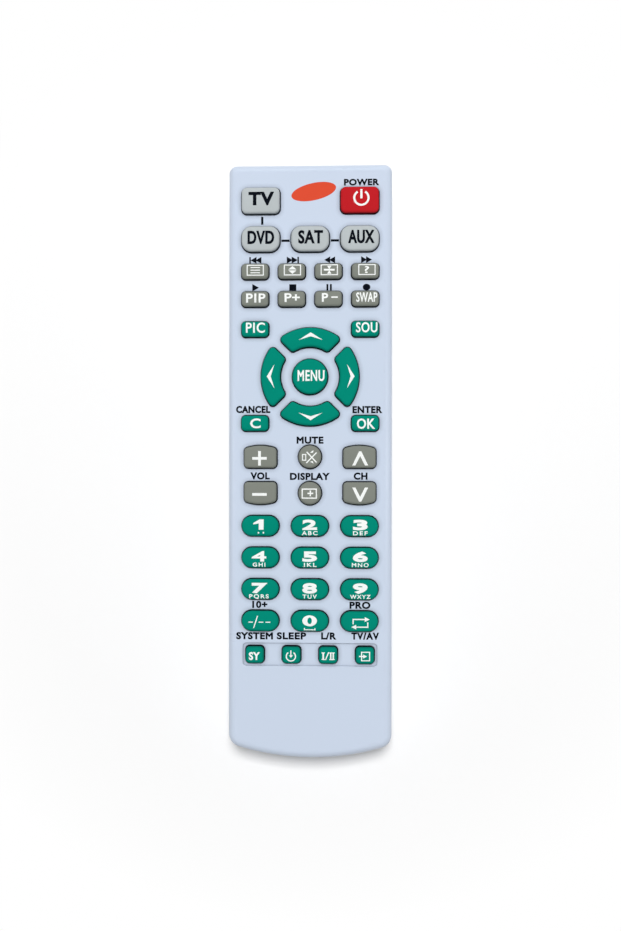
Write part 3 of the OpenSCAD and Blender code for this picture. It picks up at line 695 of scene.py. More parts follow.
def board_laminate():
    """Green solder mask over copper tracks."""
    made = surface("board_laminate", (0.02, 0.16, 0.055), 0.35, coat_weight=0.3)
    tree = made.node_tree
    tracks = add_node(tree, "ShaderNodeTexBrick", {
        "Vector": tree.nodes["Texture Coordinate"].outputs["Object"], "Scale": 160, "Mortar Size": 0.035,
        "Color1": (0.02, 0.14, 0.05, 1), "Color2": (0.022, 0.17, 0.06, 1), "Mortar": (0.06, 0.3, 0.11, 1),
    })
    set_inputs(tree, tree.nodes["Principled BSDF"], {"Base Color": tracks.outputs["Color"]})
    return made


# Legends: places and sizes in millimetres, from the middle of the key or of the key that they belong to


def points_of(*pairs):
    """A loop from pairs of numbers."""
    return [Vector(pair) for pair in pairs]


def bar(x0, y0, x1, y1):
    """A filled rectangle."""
    return [points_of((x0, y0), (x1, y0), (x1, y1), (x0, y1))]


def stroke(start, end, width):
    """A straight line of ink."""
    start, end = Vector(start), Vector(end)
    along = (end - start).normalized()
    side = Vector((-along.y, along.x)) * width / 2
    return [[start - side, end - side, end + side, start + side]]


def hollow_box(x0, y0, x1, y1, width):
    """The outline of a rectangle."""
    return bar(x0, y0, x1, y1) + bar(x0 + width, y0 + width, x1 - width, y1 - width)


def oval(x, y, half_w, half_h, lean=0.0):
    """A filled oval."""
    points = [Vector((p.x * half_w, p.y * half_h)) for p in round_outline(1)]
    return [moved(turned(points, lean), Vector((x, y)))]


def band(x, y, radius, width, start, end):
    """A stretch of a ring of ink."""
    outer = arc((x, y), radius + width / 2, start, end, ROUND_STEPS)
    return [outer + arc((x, y), radius - width / 2, end, start, ROUND_STEPS)]


def chevron(turn):
    """An arrow key's mark, thick at its point and sharp at its ends."""
    apex, inner, ends, half_w = 13.35, 12.15, 11.05, 3.65
    points = points_of((0, apex), (-half_w, ends), (0, inner), (half_w, ends))
    return [moved(turned(points, turn), Vector((0.25, 0.05)))]


def triangle(x, y, half, way, tall=1.0):
    """A filled triangle that points along +X or -X, and is so many times as tall as it is long."""
    rise = half * tall
    return [points_of((x - half * way, y - rise), (x + half * way, y), (x - half * way, y + rise))]


def text_box(x, y):
    """The frame that the marks of the text keys stand in."""
    half_w, half_h, ink = 2.62, 1.66, 0.31
    return hollow_box(x - half_w, y - half_h, x + half_w, y + half_h, ink)


def text_row_marks():
    """The marks of the four text keys."""
    y = 0.28
    lines = [bar(-1.3, y + dy - 0.14, 1.6, y + dy + 0.14) for dy in (-0.8, 0, 0.8)]
    up = [points_of((-0.95, y + 0.14), (1.5, y + 0.14), (0.28, y + 1.2))]
    down = [points_of((-0.95, y - 0.14), (0.28, y - 1.2), (1.5, y - 0.14))]
    pinch_top = [points_of((-0.4, y + 1.2), (0.28, y + 0.2), (0.95, y + 1.2))]
    pinch_low = [points_of((-0.4, y - 1.2), (0.95, y - 1.2), (0.28, y - 0.2))]
    return {
        "text_key": [text_box(0.15, y), *lines],
        "text_size_key": [text_box(0.28, y), up, down],
        "text_hold_key": [text_box(0.28, y), pinch_top, pinch_low, bar(-1.35, y - 0.28, 1.9, y + 0.28)],
        "text_reveal_key": [text_box(0.5, y), Words("?", 1.35, 2.1, 0.5, y)],
    }


def power_mark(x, y):
    """A ring that is open at the top, with a bar in the opening."""
    return [band(x, y, 2.15, 0.62, 122, 418), bar(x - 0.34, y - 0.2, x + 0.34, y + 2.65)]


def mute_mark():
    """A loudspeaker that is crossed out."""
    return [
        hollow_box(-2.35, -1.2, -1.05, 0.85, 0.3),
        stroke((-0.95, 1.5), (2.1, -1.75), 0.36),
        stroke((-1.05, -1.9), (2.1, 1.3), 0.36),
        [points_of((0.1, 1.2), (0.75, 1.85), (1.25, 1.9), (0.95, 1.2))],
        [points_of((0.0, -1.5), (0.9, -1.3), (1.2, -2.1), (0.6, -1.75))],
    ]


def plus(x, y, arm, ink):
    """An upright cross."""
    return [bar(x - arm, y - ink, x + arm, y + ink), bar(x - ink, y - arm, x + ink, y + arm)]


def display_mark():
    """A screen with a cross in it."""
    return [hollow_box(-2.45, -1.65, 2.2, 1.45, 0.36), *plus(0.2, -0.02, 0.88, 0.21)]


def sign_marks():
    """Plus, minus and the channel arrows."""
    arm, ink = 2.22, 0.42
    x, up, down = -0.2, -0.49, -0.37
    return {
        "volume_up_key": plus(x, up, arm, ink),
        "volume_down_key": plus(x, down, arm, ink)[:1],
        "channel_up_key": [wedge(0.22, up, 1)],
        "channel_down_key": [wedge(0.22, down, -1)],
    }


def wedge(x, y, way):
    """A channel arrow that points along +Y or -Y, with its feet cut level."""
    tip, notch, foot, half, leg, blunt = 2.15, 0.7, -2.15, 2.42, 0.98, 0.34
    right = ((half, foot), (blunt, tip))
    left = ((-blunt, tip), (-half, foot), (leg - half, foot), (0, notch), (half - leg, foot))
    return [points_of(*((x + px, y + way * py) for px, py in right + left))]


def digit_marks():
    """The digits with their letters, and the marks beside zero."""
    letters = ("", "ABC", "DEF", "GHI", "JKL", "MNO", "PQRS", "TUV", "WXYZ")
    widths = (0, 4.75, 4.4, 3.9, 4.15, 5.1, 5.95, 4.35, 6.15)
    shifts = (-0.32, 0.02, 0.28)
    marks = {}
    for i, (group, wide) in enumerate(zip(letters, widths)):
        x = shifts[i % 3]
        digit = str(i + 1)
        bold = 0.16 if digit in OPEN_DIGITS else 0.25
        marks[f"digit_{digit}_key"] = [Words(digit, 4.45, 3.15, x, 0.42, weight=bold)] if i else one_mark()
        if group:
            marks[f"digit_{digit}_key"].append(Words(group, wide, 1.25, x, -2.1, weight=0.05, space=1.3))
    tray = [bar(-1.7, -2.66, 1.8, -2.4), bar(-1.7, -2.66, -1.4, -2.0), bar(1.5, -2.66, 1.8, -2.0)]
    zero = oval(0.02, 0.2, 2.22, 1.66) + oval(0.02, 0.2, 0.68, 1.0)
    marks["digit_0_key"] = [zero, *tray]
    marks["dash_key"] = [
        bar(-3.5, -0.46, -2.2, -0.16), stroke((-1.95, -2.11), (-0.75, 1.59), 0.32),
        bar(-0.4, -0.46, 1.05, -0.16), bar(1.7, -0.46, 3.15, -0.16),
    ]
    marks["recall_key"] = loop_mark(0.35, -0.45)
    return marks


def one_mark():
    """The digit one, with its flag, above two dots."""
    flag = points_of(
        (0.95, 2.02), (-0.3, 2.02), (-2.2, 0.95), (-2.2, 0.45), (-0.55, 0.8), (-0.55, -1.1), (0.95, -1.1)
    )
    return [[moved(flag, Vector((0.13, 0)))], *(oval(x, -2.05, 0.24, 0.28) for x in (-0.5, 1.0))]


def loop_mark(x, y):
    """Two arrows that chase each other round a box."""
    half_w, half_h, ink, head = 2.4, 1.35, 0.36, 0.74
    one = [
        bar(x - half_w, y + half_h - ink, x + half_w - head, y + half_h),
        bar(x - half_w, y - 0.3, x - half_w + ink, y + half_h),
        triangle(x + half_w - head / 2, y + half_h - ink / 2, head, 1),
    ]
    other = [[[2 * Vector((x, y)) - p for p in loop] for loop in shape] for shape in one]
    return one + other


def system_marks():
    """The marks of the four system keys."""
    y = -0.2
    timer = [
        band(-0.1, y - 0.15, 1.4, 0.36, 125, 415),
        bar(-0.26, y - 0.2, 0.06, y + 1.7),
        [points_of((-0.7, y + 0.2), (-0.1, y - 0.6), (0.5, y + 0.2))],
    ]
    into = [
        hollow_box(-1.15, y - 1.45, 1.6, y + 1.45, 0.32),
        bar(-1.75, y - 0.2, 0.1, y + 0.2),
        triangle(0.1, y, 0.6, 1),
    ]
    pillars = []
    for x, wide in ((-1.45, 0.5), (0.85, 0.42), (1.6, 0.42)):
        pillars.append(bar(x - wide / 2, y - 1.15, x + wide / 2, y + 1.15))
    serifs = [bar(-1.95, dy - 0.14, -0.95, dy + 0.14) for dy in (y - 1.0, y + 1.0)]
    serifs += [bar(0.4, dy - 0.14, 2.05, dy + 0.14) for dy in (y - 1.0, y + 1.0)]
    return {
        "system_key": [Words("SY", 3.3, 2.4, -0.1, y - 0.14, 0.12, 1.12)],
        "sleep_key": timer,
        "audio_key": [*pillars, *serifs, stroke((-0.75, y - 1.15), (0.2, y + 1.2), 0.34)],
        "input_key": into,
    }


def key_marks():
    """The legend of every key."""
    marks = {
        "tv_key": [Words("TV", 7.7, 4.1, 0.2, 0.48, weight=0.26, space=1.12)],
        "power_key": power_mark(0.5, 0.45),
        "disc_key": [Words("DVD", 8.15, 4.05, 0.15, 0.36, weight=0.18, space=1.08)],
        "satellite_key": [Words("SAT", 7.55, 4.05, 0.2, 0.4, weight=0.18, space=1.08)],
        "auxiliary_key": [Words("AUX", 7.9, 4.05, 0.46, 0.4, weight=0.18, space=1.08)],
        "inset_key": [Words("PIP", 5.9, 2.8, 0.3, 0.21, weight=0.1, space=1.12)],
        "program_up_key": [Words("P+", 4.65, 2.7, 0.2, 0.29, weight=0.1)],
        "program_down_key": [Words("P", 1.9, 2.7, -1.0, 0.29, weight=0.1), bar(0.9, 0.14, 2.9, 0.59)],
        "swap_key": [Words("SWAP", 6.4, 2.9, 0.45, 0.34, weight=0.08, space=1.1)],
        "picture_key": [Words("PIC", 5.8, 3.1, 0.2, 0.38, weight=0.08, space=1.12)],
        "sound_key": [Words("SOU", 6.5, 3.05, 0.45, 0.38, weight=0.08, space=1.1)],
        "menu_key": [Words("MENU", 8.2, 3.3, 0.37, 0.28, weight=0.1, space=1.14)],
        "cancel_key": [Words("C", 3.2, 2.95, 0.25, -0.05, weight=0.1)],
        "ok_key": [Words("OK", 5.4, 3.1, 0.2, -0.15, weight=0.1, space=1.06)],
        "mute_key": mute_mark(),
        "display_key": display_mark(),
    }
    for node, turn in ARC_TURNS.items():
        marks[node] = [chevron(turn)]
    for more in (text_row_marks(), sign_marks(), digit_marks(), system_marks()):
        marks.update(more)
    return marks


def case_marks():
    """The legends on the case: the key that each belongs to, and its shapes."""
    text_y, inset_y, tall = 3.62, 3.64, 0.98

    def label(text, width, x, y, cap=2.15, space=1.1):
        return [Words(text, width, cap, x, y, weight=0.13, space=space)]

    def block(x0, x1, y):
        return bar(x0, y - tall, x1, y + tall)

    def double(x, way):
        return [triangle(x + dx, text_y, 0.9, way, 1.15) for dx in (-0.75, 0.75)]

    marks = [
        ("power_key", label("POWER", 10.6, 0.5, 5.66, cap=2.0)),
        ("text_key", [block(-1.85, -1.4, text_y), *double(0.2, -1)]),
        ("text_size_key", [block(1.7, 2.15, text_y), *double(0.1, 1)]),
        ("text_hold_key", double(0.35, -1)),
        ("text_reveal_key", double(0.4, 1)),
        ("inset_key", [triangle(0.1, inset_y, 1.02, 1, 1.1)]),
        ("program_up_key", [block(-0.78, 1.34, inset_y)]),
        ("program_down_key", [block(-0.62, -0.05, inset_y), block(0.44, 1.01, inset_y)]),
        ("swap_key", [oval(0.4, inset_y, 1.15, 1.02)]),
        ("cancel_key", label("CANCEL", 10.5, -0.62, 4.27)),
        ("ok_key", label("ENTER", 8.95, 0.64, 4.2)),
        ("mute_key", label("MUTE", 8.2, 0.0, 5.09)),
        ("volume_down_key", label("VOL", 5.85, -0.15, 5.24)),
        ("display_key", label("DISPLAY", 12.05, -0.1, 5.1)),
        ("channel_down_key", label("CH", 4.2, 0.35, 5.21)),
        ("dash_key", label("10+", 4.65, -0.22, 4.84)),
        ("recall_key", label("PRO", 6.35, 0.2, 4.77)),
        ("system_key", label("SYSTEM", 11.25, -0.12, 5.64)),
        ("sleep_key", label("SLEEP", 9.0, 0.0, 5.69)),
        ("audio_key", label("L/R", 4.5, 0.12, 5.74)),
        ("input_key", label("TV/AV", 8.4, 0.07, 5.78, space=1.2)),
    ]
    return marks + source_lines()


def source_lines():
    """The lines that join the source keys, which stop short of the keys' edges."""
    clear, end_clear, ink, level, side = 0.5, 0.75, 0.34, -0.35, 0.4
    skirt = bpy.context.scene.remote_keys.skirt_reach / MM

    def gap(first, second, axis, room):
        """Where a line starts and ends, from the middle of the first key."""
        near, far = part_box(first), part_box(second)
        middle = (near[0][axis] + near[1][axis]) / 2
        return (near[1][axis] - middle) / MM - skirt + room, (far[0][axis] - middle) / MM + skirt - room

    lines = []
    for left, right in (("disc_key", "satellite_key"), ("satellite_key", "auxiliary_key")):
        start, end = gap(left, right, 0, clear)
        lines.append((left, [bar(start, level - ink, end, level + ink)]))
    low, high = gap("disc_key", "tv_key", 1, end_clear)
    lines.append(("disc_key", [bar(side - ink, low, side + ink, high)]))
    return lines


def letter_loops(text, space=1.0):
    """The outlines of built-in lettering, anticlockwise, with holes clockwise."""
    curve = bpy.data.curves.new("lettering", "FONT")
    curve.body = text
    curve.space_character = space
    curve.fill_mode = "NONE"
    curve.resolution_u = LETTER_STEPS
    mesh = plain_mesh(add_object("lettering", curve), "lettering")
    bpy.data.curves.remove(curve)
    bm = bmesh.new()
    bm.from_mesh(mesh)
    bpy.data.meshes.remove(mesh)
    loops = []
    left = set(bm.verts)
    while left:
        vert = min(left, key=lambda v: v.index)
        loop = []
        while vert:
            left.discard(vert)
            loop.append(vert.co.xy)
            vert = next((e.other_vert(vert) for e in vert.link_edges if e.other_vert(vert) in left), None)
        loops.append(loop)
    bm.free()
    depth = [sum(turns_round(loop[0], other) != 0 for other in loops if other is not loop) for loop in loops]
    return [facing(loop, -1 if deep % 2 else 1) for loop, deep in zip(loops, depth)]


def grown(loop, by):
    """A loop moved outwards by the given amount, with its sharp corners kept."""
    points = [p for i, p in enumerate(loop) if (p - loop[i - 1]).length > FILL_TOLERANCE]
    moved_out = []
    for i, p in enumerate(points):
        before = (p - points[i - 1]).normalized()
        after = (points[(i + 1) % len(points)] - p).normalized()
        sides = [Vector((way.y, -way.x)) for way in (before, after)]
        middle = (sides[0] + sides[1]) / max(1 + sides[0].dot(sides[1]), LEAST_MITRE)
        moved_out.append(p + middle * by)
    return moved_out


def spread(values):
    """The least and greatest of some values."""
    values = list(values)
    return min(values), max(values)


def on_line(y, foot):
    """A height in lettering, with what hangs below the line drawn up to it."""
    return max(y, foot + (y - foot) * HANG_LEFT)


def add_words(bm, item, place):
    """Adds lettering to a legend: fitted to its width and cap height, then thickened."""
    loops = letter_loops(item.text, item.space)
    foot, head = spread(p.y for loop in letter_loops("H") for p in loop)
    left, right = spread(p.x for loop in loops for p in loop)
    wide = (item.width - 2 * item.weight) / (right - left)
    tall = (item.cap - 2 * item.weight) / (head - foot)
    middle = Vector(((left + right) / 2, (foot + head) / 2))
    fitted = []
    for loop in loops:
        points = [Vector((p.x, on_line(p.y, foot) if HANGING in item.text else p.y)) - middle for p in loop]
        points = [Vector((p.x * wide + item.x, p.y * tall + item.y)) for p in points]
        fitted.append([place + p * MM for p in grown(points, item.weight)])
    add_solid(bm, *fill_loops(fitted))


def add_shapes(bm, shapes, place):
    """Adds the union of flat shapes to a legend."""
    add_solid(bm, *fill([[[place + p * MM for p in loop] for loop in loops] for loops in shapes]))


def add_solid(bm, points, faces):
    """Adds a thin solid over flat triangles."""
    top = add_sheet(bm, points, faces, UPPER)
    low = add_sheet(bm, points, [face[::-1] for face in faces], -UPPER)
    edges = {(a, b) for face in faces for a, b in zip(face, face[1:] + face[:1])}
    for a, b in sorted(edges):
        if (b, a) not in edges:
            bm.faces.new((top[b], top[a], low[a], low[b]))
    for vert in [v for v in top + low if not v.link_faces]:
        bm.verts.remove(vert)


def add_marks(bm, marks, place):
    """Adds a legend's lettering and shapes, flat, with its upper and lower side marked by their heights."""
    shapes = [item for item in marks if not isinstance(item, Words)]
    for item in marks:
        if isinstance(item, Words):
            add_words(bm, item, place)
    if shapes:
        add_shapes(bm, shapes, place)


def lay(bm, height, ink):
    """Splits a flat legend's long edges and lays it on the surface that it is printed on."""
    bmesh.ops.remove_doubles(bm, verts=bm.verts, dist=MERGE)
    for _ in range(LAY_ROUNDS):
        bmesh.ops.triangulate(bm, faces=bm.faces)
        level = [e for e in bm.edges if e.verts[0].co.z == e.verts[1].co.z and e.calc_length() > LAY_STEP]
        if not level:
            break
        bmesh.ops.subdivide_edges(bm, edges=level, cuts=1)
    bmesh.ops.triangulate(bm, faces=bm.faces)
    for v in bm.verts:
        v.co.z = height(v.co.xy) + (ink.proud if v.co.z > 0 else -ink.sunk)


# Pieces


def face_cover(context):
    """The upper cover: a thin shell with rounded rims, key openings and the sunk panel."""
    case = context.scene.remote_case
    keys = context.scene.remote_keys
    low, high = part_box("face_cover")
    window_low, window_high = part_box("infrared_window")
    seam, top = low.z, high.z
    under = top - case.face_wall
    skirt_out = window_skirt(case)
    notch = window_high.z - skirt_out + case.window_gap
    half = (window_high.x - window_low.x) / 2 - skirt_out + case.window_gap
    stops = (half, -half)

    def outer(inset, z):
        return at(case_outline(case, inset, stops), z)

    start = next(i for i, p in enumerate(outer(0, seam)) if abs(p.x - half) < MERGE and p.y > 0)
    bm = bmesh.new()
    sides = loft(bm, [
        outer(case.wall, notch), outer(case.wall, seam), outer(case.seam_chamfer, seam),
        outer(0, seam + case.seam_chamfer), outer(0, notch),
    ], gap=start)
    for i in (start, start + 1):
        bm.faces.new([ring[i] for ring in sides])
    bm.faces.new((sides[0][start], sides[0][start + 1], sides[-1][start + 1], sides[-1][start]))
    steps = reversed(round_steps(case.face_round, CASE_EDGE_STEPS))
    edge = [outer(case.face_round - inward, top - down) for inward, down in steps]
    flat = case_outline(case, case.face_round + SUPPORT, stops)
    loft(bm, [outer(0, notch), *edge, at(flat, top)])
    loft(bm, [outer(case.wall, notch), outer(case.wall, under)])
    openings = add_openings(bm, case, keys, top, under)
    add_flat(bm, [flat, *openings["face"]], top)
    add_flat(bm, openings["panel"], top - case.panel_depth)
    add_flat(bm, [case_outline(case, case.wall, stops), *openings["under"]], under)
    # The second finish is painted shade, on the walls of the key openings
    finishes = [finish("case_plastic"), finish("gap_shade")]
    make_piece("face_cover_shell", bm, finishes, CASE_BODY, ["face_cover"])


def window_skirt(case):
    """How far the window's inner flange reaches past its visible face."""
    low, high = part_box("infrared_window")
    return (high.z - low.z - case.window_height) / 2


def paint_last(bm, count, index):
    """Gives the faces that were added last another of the piece's finishes."""
    bm.faces.ensure_lookup_table()
    for face in bm.faces[len(bm.faces) - count:]:
        face.material_index = index


def add_openings(bm, case, keys, top, under):
    """Adds the walls of the key openings and of the sunk panel, and returns the loops around them."""
    loops = {"face": [], "panel": [], "under": []}
    floor = top - case.panel_depth
    for node in KEY_KINDS:
        form = key_form(keys, node)
        level = floor if form.kind == "system" else top
        rings = [at(key_outline(keys, form, keys.gap + case.rim_round + SUPPORT), level)]
        for inward, down in round_steps(case.rim_round, RIM_STEPS):
            rings.append(at(key_outline(keys, form, keys.gap + case.rim_round - inward), level - down))
        rings.append(at(key_outline(keys, form, keys.gap), under))
        loft(bm, rings)
        # The opening's wall gets the painted shade of the gap
        paint_last(bm, len(rings[0]), 1)
        loops["panel" if form.kind == "system" else "face"].append([p.xy for p in rings[0]])
        loops["under"].append([p.xy for p in rings[-1]])
    forms = [key_form(keys, node) for node in SYSTEM_KEYS]
    middle = sum((form.centre for form in forms), Vector((0, 0))) / len(forms)
    reach = max(form.centre.x for form in forms) - middle.x
    extent = 2 * Vector((reach, 0)) + forms[0].size + 2 * case.panel_border * Vector((1, 1))

    def panel(grow, z):
        return at(moved(box_outline(extent, case.panel_corner, grow), middle), z)

    rings = [panel(case.rim_round + SUPPORT, top)]
    for inward, down in round_steps(case.rim_round, RIM_STEPS):
        rings.append(panel(case.rim_round - inward, top - down))
    rings.append(panel(0, floor))
    loft(bm, rings)
    loops["face"].append([p.xy for p in rings[0]])
    loops["panel"].insert(0, [p.xy for p in rings[-1]])
    return loops


def key_cap(context, node):
    """One key: its skirt, sides, rounded edge and slightly crowned top, with the carbon pill below."""
    keys = context.scene.remote_keys
    form = key_form(keys, node)
    skirt_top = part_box("face_cover")[1].z - context.scene.remote_case.face_wall - keys.skirt_gap
    skirt_low = skirt_top - keys.skirt_thickness
    shoulder = form.top - keys.edge_round

    def ring(grow, z):
        return at(key_outline(keys, form, grow), z)

    bm = bmesh.new()
    rings = [
        ring(keys.skirt_reach, skirt_low), ring(keys.skirt_reach, skirt_top),
        ring(0, skirt_top), ring(0, shoulder),
    ]
    for inward, down in reversed(round_steps(keys.edge_round, KEY_EDGE_STEPS)[:-1]):
        rings.append(ring(inward - keys.edge_round, form.top - down))
    loft(bm, rings)
    rim = [p.xy for p in rings[-1]]
    add_flat(bm, [rim], form.top, inner_points(keys, form, rim))
    for v in bm.verts:
        share = (v.co.z - shoulder) / keys.edge_round
        if share > 0:
            v.co.z -= crown_drop(keys, form, v.co.xy) * min(share, 1.0)
    add_pill(bm, keys, form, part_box(node)[0].z, skirt_low)
    # The key's finish carries painted shade towards its foot
    make_piece(f"{node}_cap", bm, [finish(form.slot), carbon()], node, [node])


def carbon():
    """The conductive rubber of the pills."""
    return surface("pill_carbon", (0.012, 0.012, 0.013), 0.75, grain=6000)


def inner_points(keys, form, rim):
    """Points across a key's top, so that its crown is smooth."""
    found = key_outline(keys, form, -keys.edge_round - 2 * SUPPORT)
    clear = key_outline(keys, form, -keys.edge_round - 5 * SUPPORT)
    (left, right), (low, high) = spread(p.x for p in rim), spread(p.y for p in rim)
    for i in range(1, int((right - left) / CROWN_PITCH) + 1):
        for j in range(1, int((high - low) / CROWN_PITCH) + 1):
            spot = Vector((left + i * CROWN_PITCH, low + j * CROWN_PITCH))
            if turns_round(spot, clear):
                found.append(spot)
    return found


def add_pill(bm, keys, form, low, high):
    """Adds the underside of a key, with its round pill."""
    middle = form.centre
    if form.kind == "arc":
        away = (keys.ring_inner + keys.ring_outer) / 2
        middle = middle + turned([Vector((0, away))], ARC_TURNS[form.node])[0]
    circle = moved(round_outline(keys.pill_radius), middle)
    skirt = key_outline(keys, form, keys.skirt_reach)
    add_flat(bm, [skirt, circle], high)
    loft(bm, [at(circle, high), at(circle, low)])
    paint_last(bm, add_flat(bm, [circle], low), 1)


def key_legend(context, node, marks):
    """The legend printed on one key."""
    keys = context.scene.remote_keys
    form = key_form(keys, node)
    bm = bmesh.new()
    add_marks(bm, marks, form.centre)
    lay(bm, lambda p: form.top - crown_drop(keys, form, p), context.scene.remote_print)
    ink = "dark_ink" if form.slot == "light_keys" else "white_ink"
    make_piece(f"{node}_legend", bm, [finish(ink)], node)


def case_print(context):
    """The legends and the oval printed on the key face."""
    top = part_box("face_cover")[1].z
    half_w, half_h, lean, x, below = 6.95, 2.62, 12, 1.05, 1.05
    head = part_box("power_key")[1].y - context.scene.remote_keys.skirt_reach
    badge = [([oval(0, 0, half_w, half_h, lean)], Vector((x * MM, head - below * MM)))]
    legends = [(marks, (sum(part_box(node), Vector()) / 2).xy) for node, marks in case_marks()]
    for name, ink, prints in (("case_legends", "dark_ink", legends), ("head_badge", "badge_ink", badge)):
        bm = bmesh.new()
        for marks, place in prints:
            add_marks(bm, marks, place)
        lay(bm, lambda p: top, context.scene.remote_print)
        make_piece(name, bm, [finish(ink)], CASE_BODY)


def smoothed_copy(node, name, body, material, edge):
    """A merged copy of a node with small rounds along its edges and smooth sides."""
    bm = bmesh.new()
    bm.from_mesh(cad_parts[node].data)
    bmesh.ops.remove_doubles(bm, verts=bm.verts, dist=MERGE)
    bmesh.ops.dissolve_limit(bm, angle_limit=FLAT_ANGLE, verts=bm.verts, edges=bm.edges)
    piece = make_piece(name, bm, [material], body, [node], outwards=False)
    soften = piece.modifiers.new("edge_rounds", "BEVEL")
    soften.width = edge
    soften.segments = 2
    soften.limit_method = "ANGLE"
    soften.angle_limit = EDGE_ANGLE
    weigh = piece.modifiers.new("even_normals", "WEIGHTED_NORMAL")
    weigh.keep_sharp = True


def battery_door(context):
    """The battery door, with the arrow that shows which way it slides."""
    plastic = finish("case_plastic")
    edge = context.scene.remote_case.edge
    smoothed_copy("battery_door", "battery_door_panel", DOOR_BODY, plastic, edge)
    ink = context.scene.remote_print
    low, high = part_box("battery_door")
    tip, wing, tail, stem, from_head = 4.0, 2.6, 3.2, 0.9, 24.0
    arrow = [[points_of((0, -tip), (wing, 0), (-wing, 0))], bar(-stem, 0, stem, tail)]
    bm = bmesh.new()
    add_marks(bm, arrow, Vector((0, high.y - from_head * MM)))
    for v in bm.verts:
        v.co.z = low.z + (ink.sunk if v.co.z > 0 else -ink.proud)
    make_piece("battery_door_arrow", bm, [finish("dark_ink")], DOOR_BODY)


def add_lathe(bm, profile, middle, back, way, indices):
    """Adds a turned shape along Y: its profile gives radius and distance from its back end."""
    circle = round_outline(1)
    rings = [[Vector((middle.x + p.x * radius, back + way * along, middle.y + p.y * radius)) for p in circle]
             for radius, along in profile]
    before = len(bm.faces)
    made = loft(bm, rings)
    bm.faces.new(made[0])
    bm.faces.new(made[-1])
    bm.faces.ensure_lookup_table()
    count = len(circle)
    for i, face in enumerate(bm.faces[before:]):
        face.material_index = indices[min(i // count, len(indices) - 1)]


def battery_cells(context):
    """Two cells, each with its jacket, coloured end and bare metal ends, lying end for end."""
    bay = context.scene.remote_bay
    low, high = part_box("battery_cells")
    radius = (high.z - low.z) / 2
    level = (high.z + low.z) / 2
    edge = bay.cell_edge
    length = bay.cell_length
    shoulder = length - bay.nub_height
    tip = shoulder - CELL_BAND * length
    soft = CELL_SOFT * edge
    profile = [
        (radius - CELL_RIM * edge, 0), (radius - edge, 0), (radius - soft, soft), (radius, edge),
        (radius, tip), (radius, shoulder - edge), (radius - soft, shoulder - soft), (radius - edge, shoulder),
        (bay.nub_radius + soft, shoulder), (bay.nub_radius, shoulder + soft), (bay.nub_radius, length - soft),
        (bay.nub_radius - soft, length),
    ]
    finishes = [
        surface("cell_steel", (0.7, 0.69, 0.66), 0.25, metallic=1.0),
        surface("cell_jacket", (0.035, 0.055, 0.09), 0.3, coat_weight=0.4),
        surface("cell_band", (0.62, 0.34, 0.13), 0.28, metallic=1.0),
    ]
    indices = [0, 1, 1, 1, 2, 2, 2, 0, 0, 0, 0, 0]
    bm = bmesh.new()
    add_lathe(bm, profile, Vector((low.x + radius, level)), low.y, 1, indices)
    add_lathe(bm, profile, Vector((high.x - radius, level)), high.y, -1, indices)
    make_piece("battery_cell_pair", bm, finishes, CASE_BODY, ["battery_cells"])


def geometry_tree(name, inputs, material, build):
    """A geometry node tree that ends in plain painted geometry, and what a modifier calls its inputs."""
    tree = bpy.data.node_groups.new(name, "GeometryNodeTree")
    called = {}
    for label, kind in {"Geometry": "Geometry", **inputs}.items():
        made = tree.interface.new_socket(label, in_out="INPUT", socket_type=f"NodeSocket{kind}")
        called[label] = made.identifier
    tree.interface.new_socket("Geometry", in_out="OUTPUT", socket_type="NodeSocketGeometry")
    shape = build(tree, tree.nodes.new("NodeGroupInput").outputs)
    solid = add_node(tree, "GeometryNodeRealizeInstances", {"Geometry": shape}).outputs["Geometry"]
    painted = add_node(tree, "GeometryNodeSetMaterial", {"Geometry": solid, "Material": material})
    add_node(tree, "NodeGroupOutput", {"Geometry": painted.outputs["Geometry"]})
    return tree, called


def grown_mesh(name, data, group, values):
    """The plain mesh that a geometry node tree makes of some data."""
    tree, called = group
    holder = add_object(f"{name}_source", data)
    nodes = holder.modifiers.new(tree.name, "NODES")
    nodes.node_group = tree
    for label, value in values.items():
        nodes[called[label]] = value
    return plain_mesh(holder, name)


def wound_wire(tree, given):
    """Sweeps a round wire along a curve."""
    ring = {"Radius": given["Wire Radius"], "Resolution": given["Wire Sides"]}
    section = add_node(tree, "GeometryNodeCurvePrimitiveCircle", ring).outputs["Curve"]
    path = {"Curve": given["Geometry"], "Profile Curve": section, "Fill Caps": True}
    swept = add_node(tree, "GeometryNodeCurveToMesh", path).outputs["Mesh"]
    return add_node(tree, "GeometryNodeSetShadeSmooth", {"Geometry": swept}).outputs["Geometry"]


def spring_path(bay, middle, start, end):
    """The line of a spring's wire: a cone of turns with a straight stub at each end."""
    way = 1 if end > start else -1
    steps = SPRING_STEPS * bay.turns
    stub = 2 * way * bay.wire
    path = [Vector((bay.coil_base, start, 0)), Vector((bay.coil_base, start + way * bay.wire, 0))]
    for i in range(1, steps):
        share = i / steps
        angle = 2 * math.pi * bay.turns * share
        radius = bay.coil_base + (bay.coil_tip - bay.coil_base) * share
        along = start + stub + (end - start - 2 * stub) * share
        path.append(Vector((radius * math.cos(angle), along, radius * math.sin(angle))))
    path += [Vector((bay.coil_tip, end - way * bay.wire, 0)), Vector((bay.coil_tip, end, 0))]
    return [Vector((middle.x + way * p.x, p.y, middle.y + p.z)) for p in path]


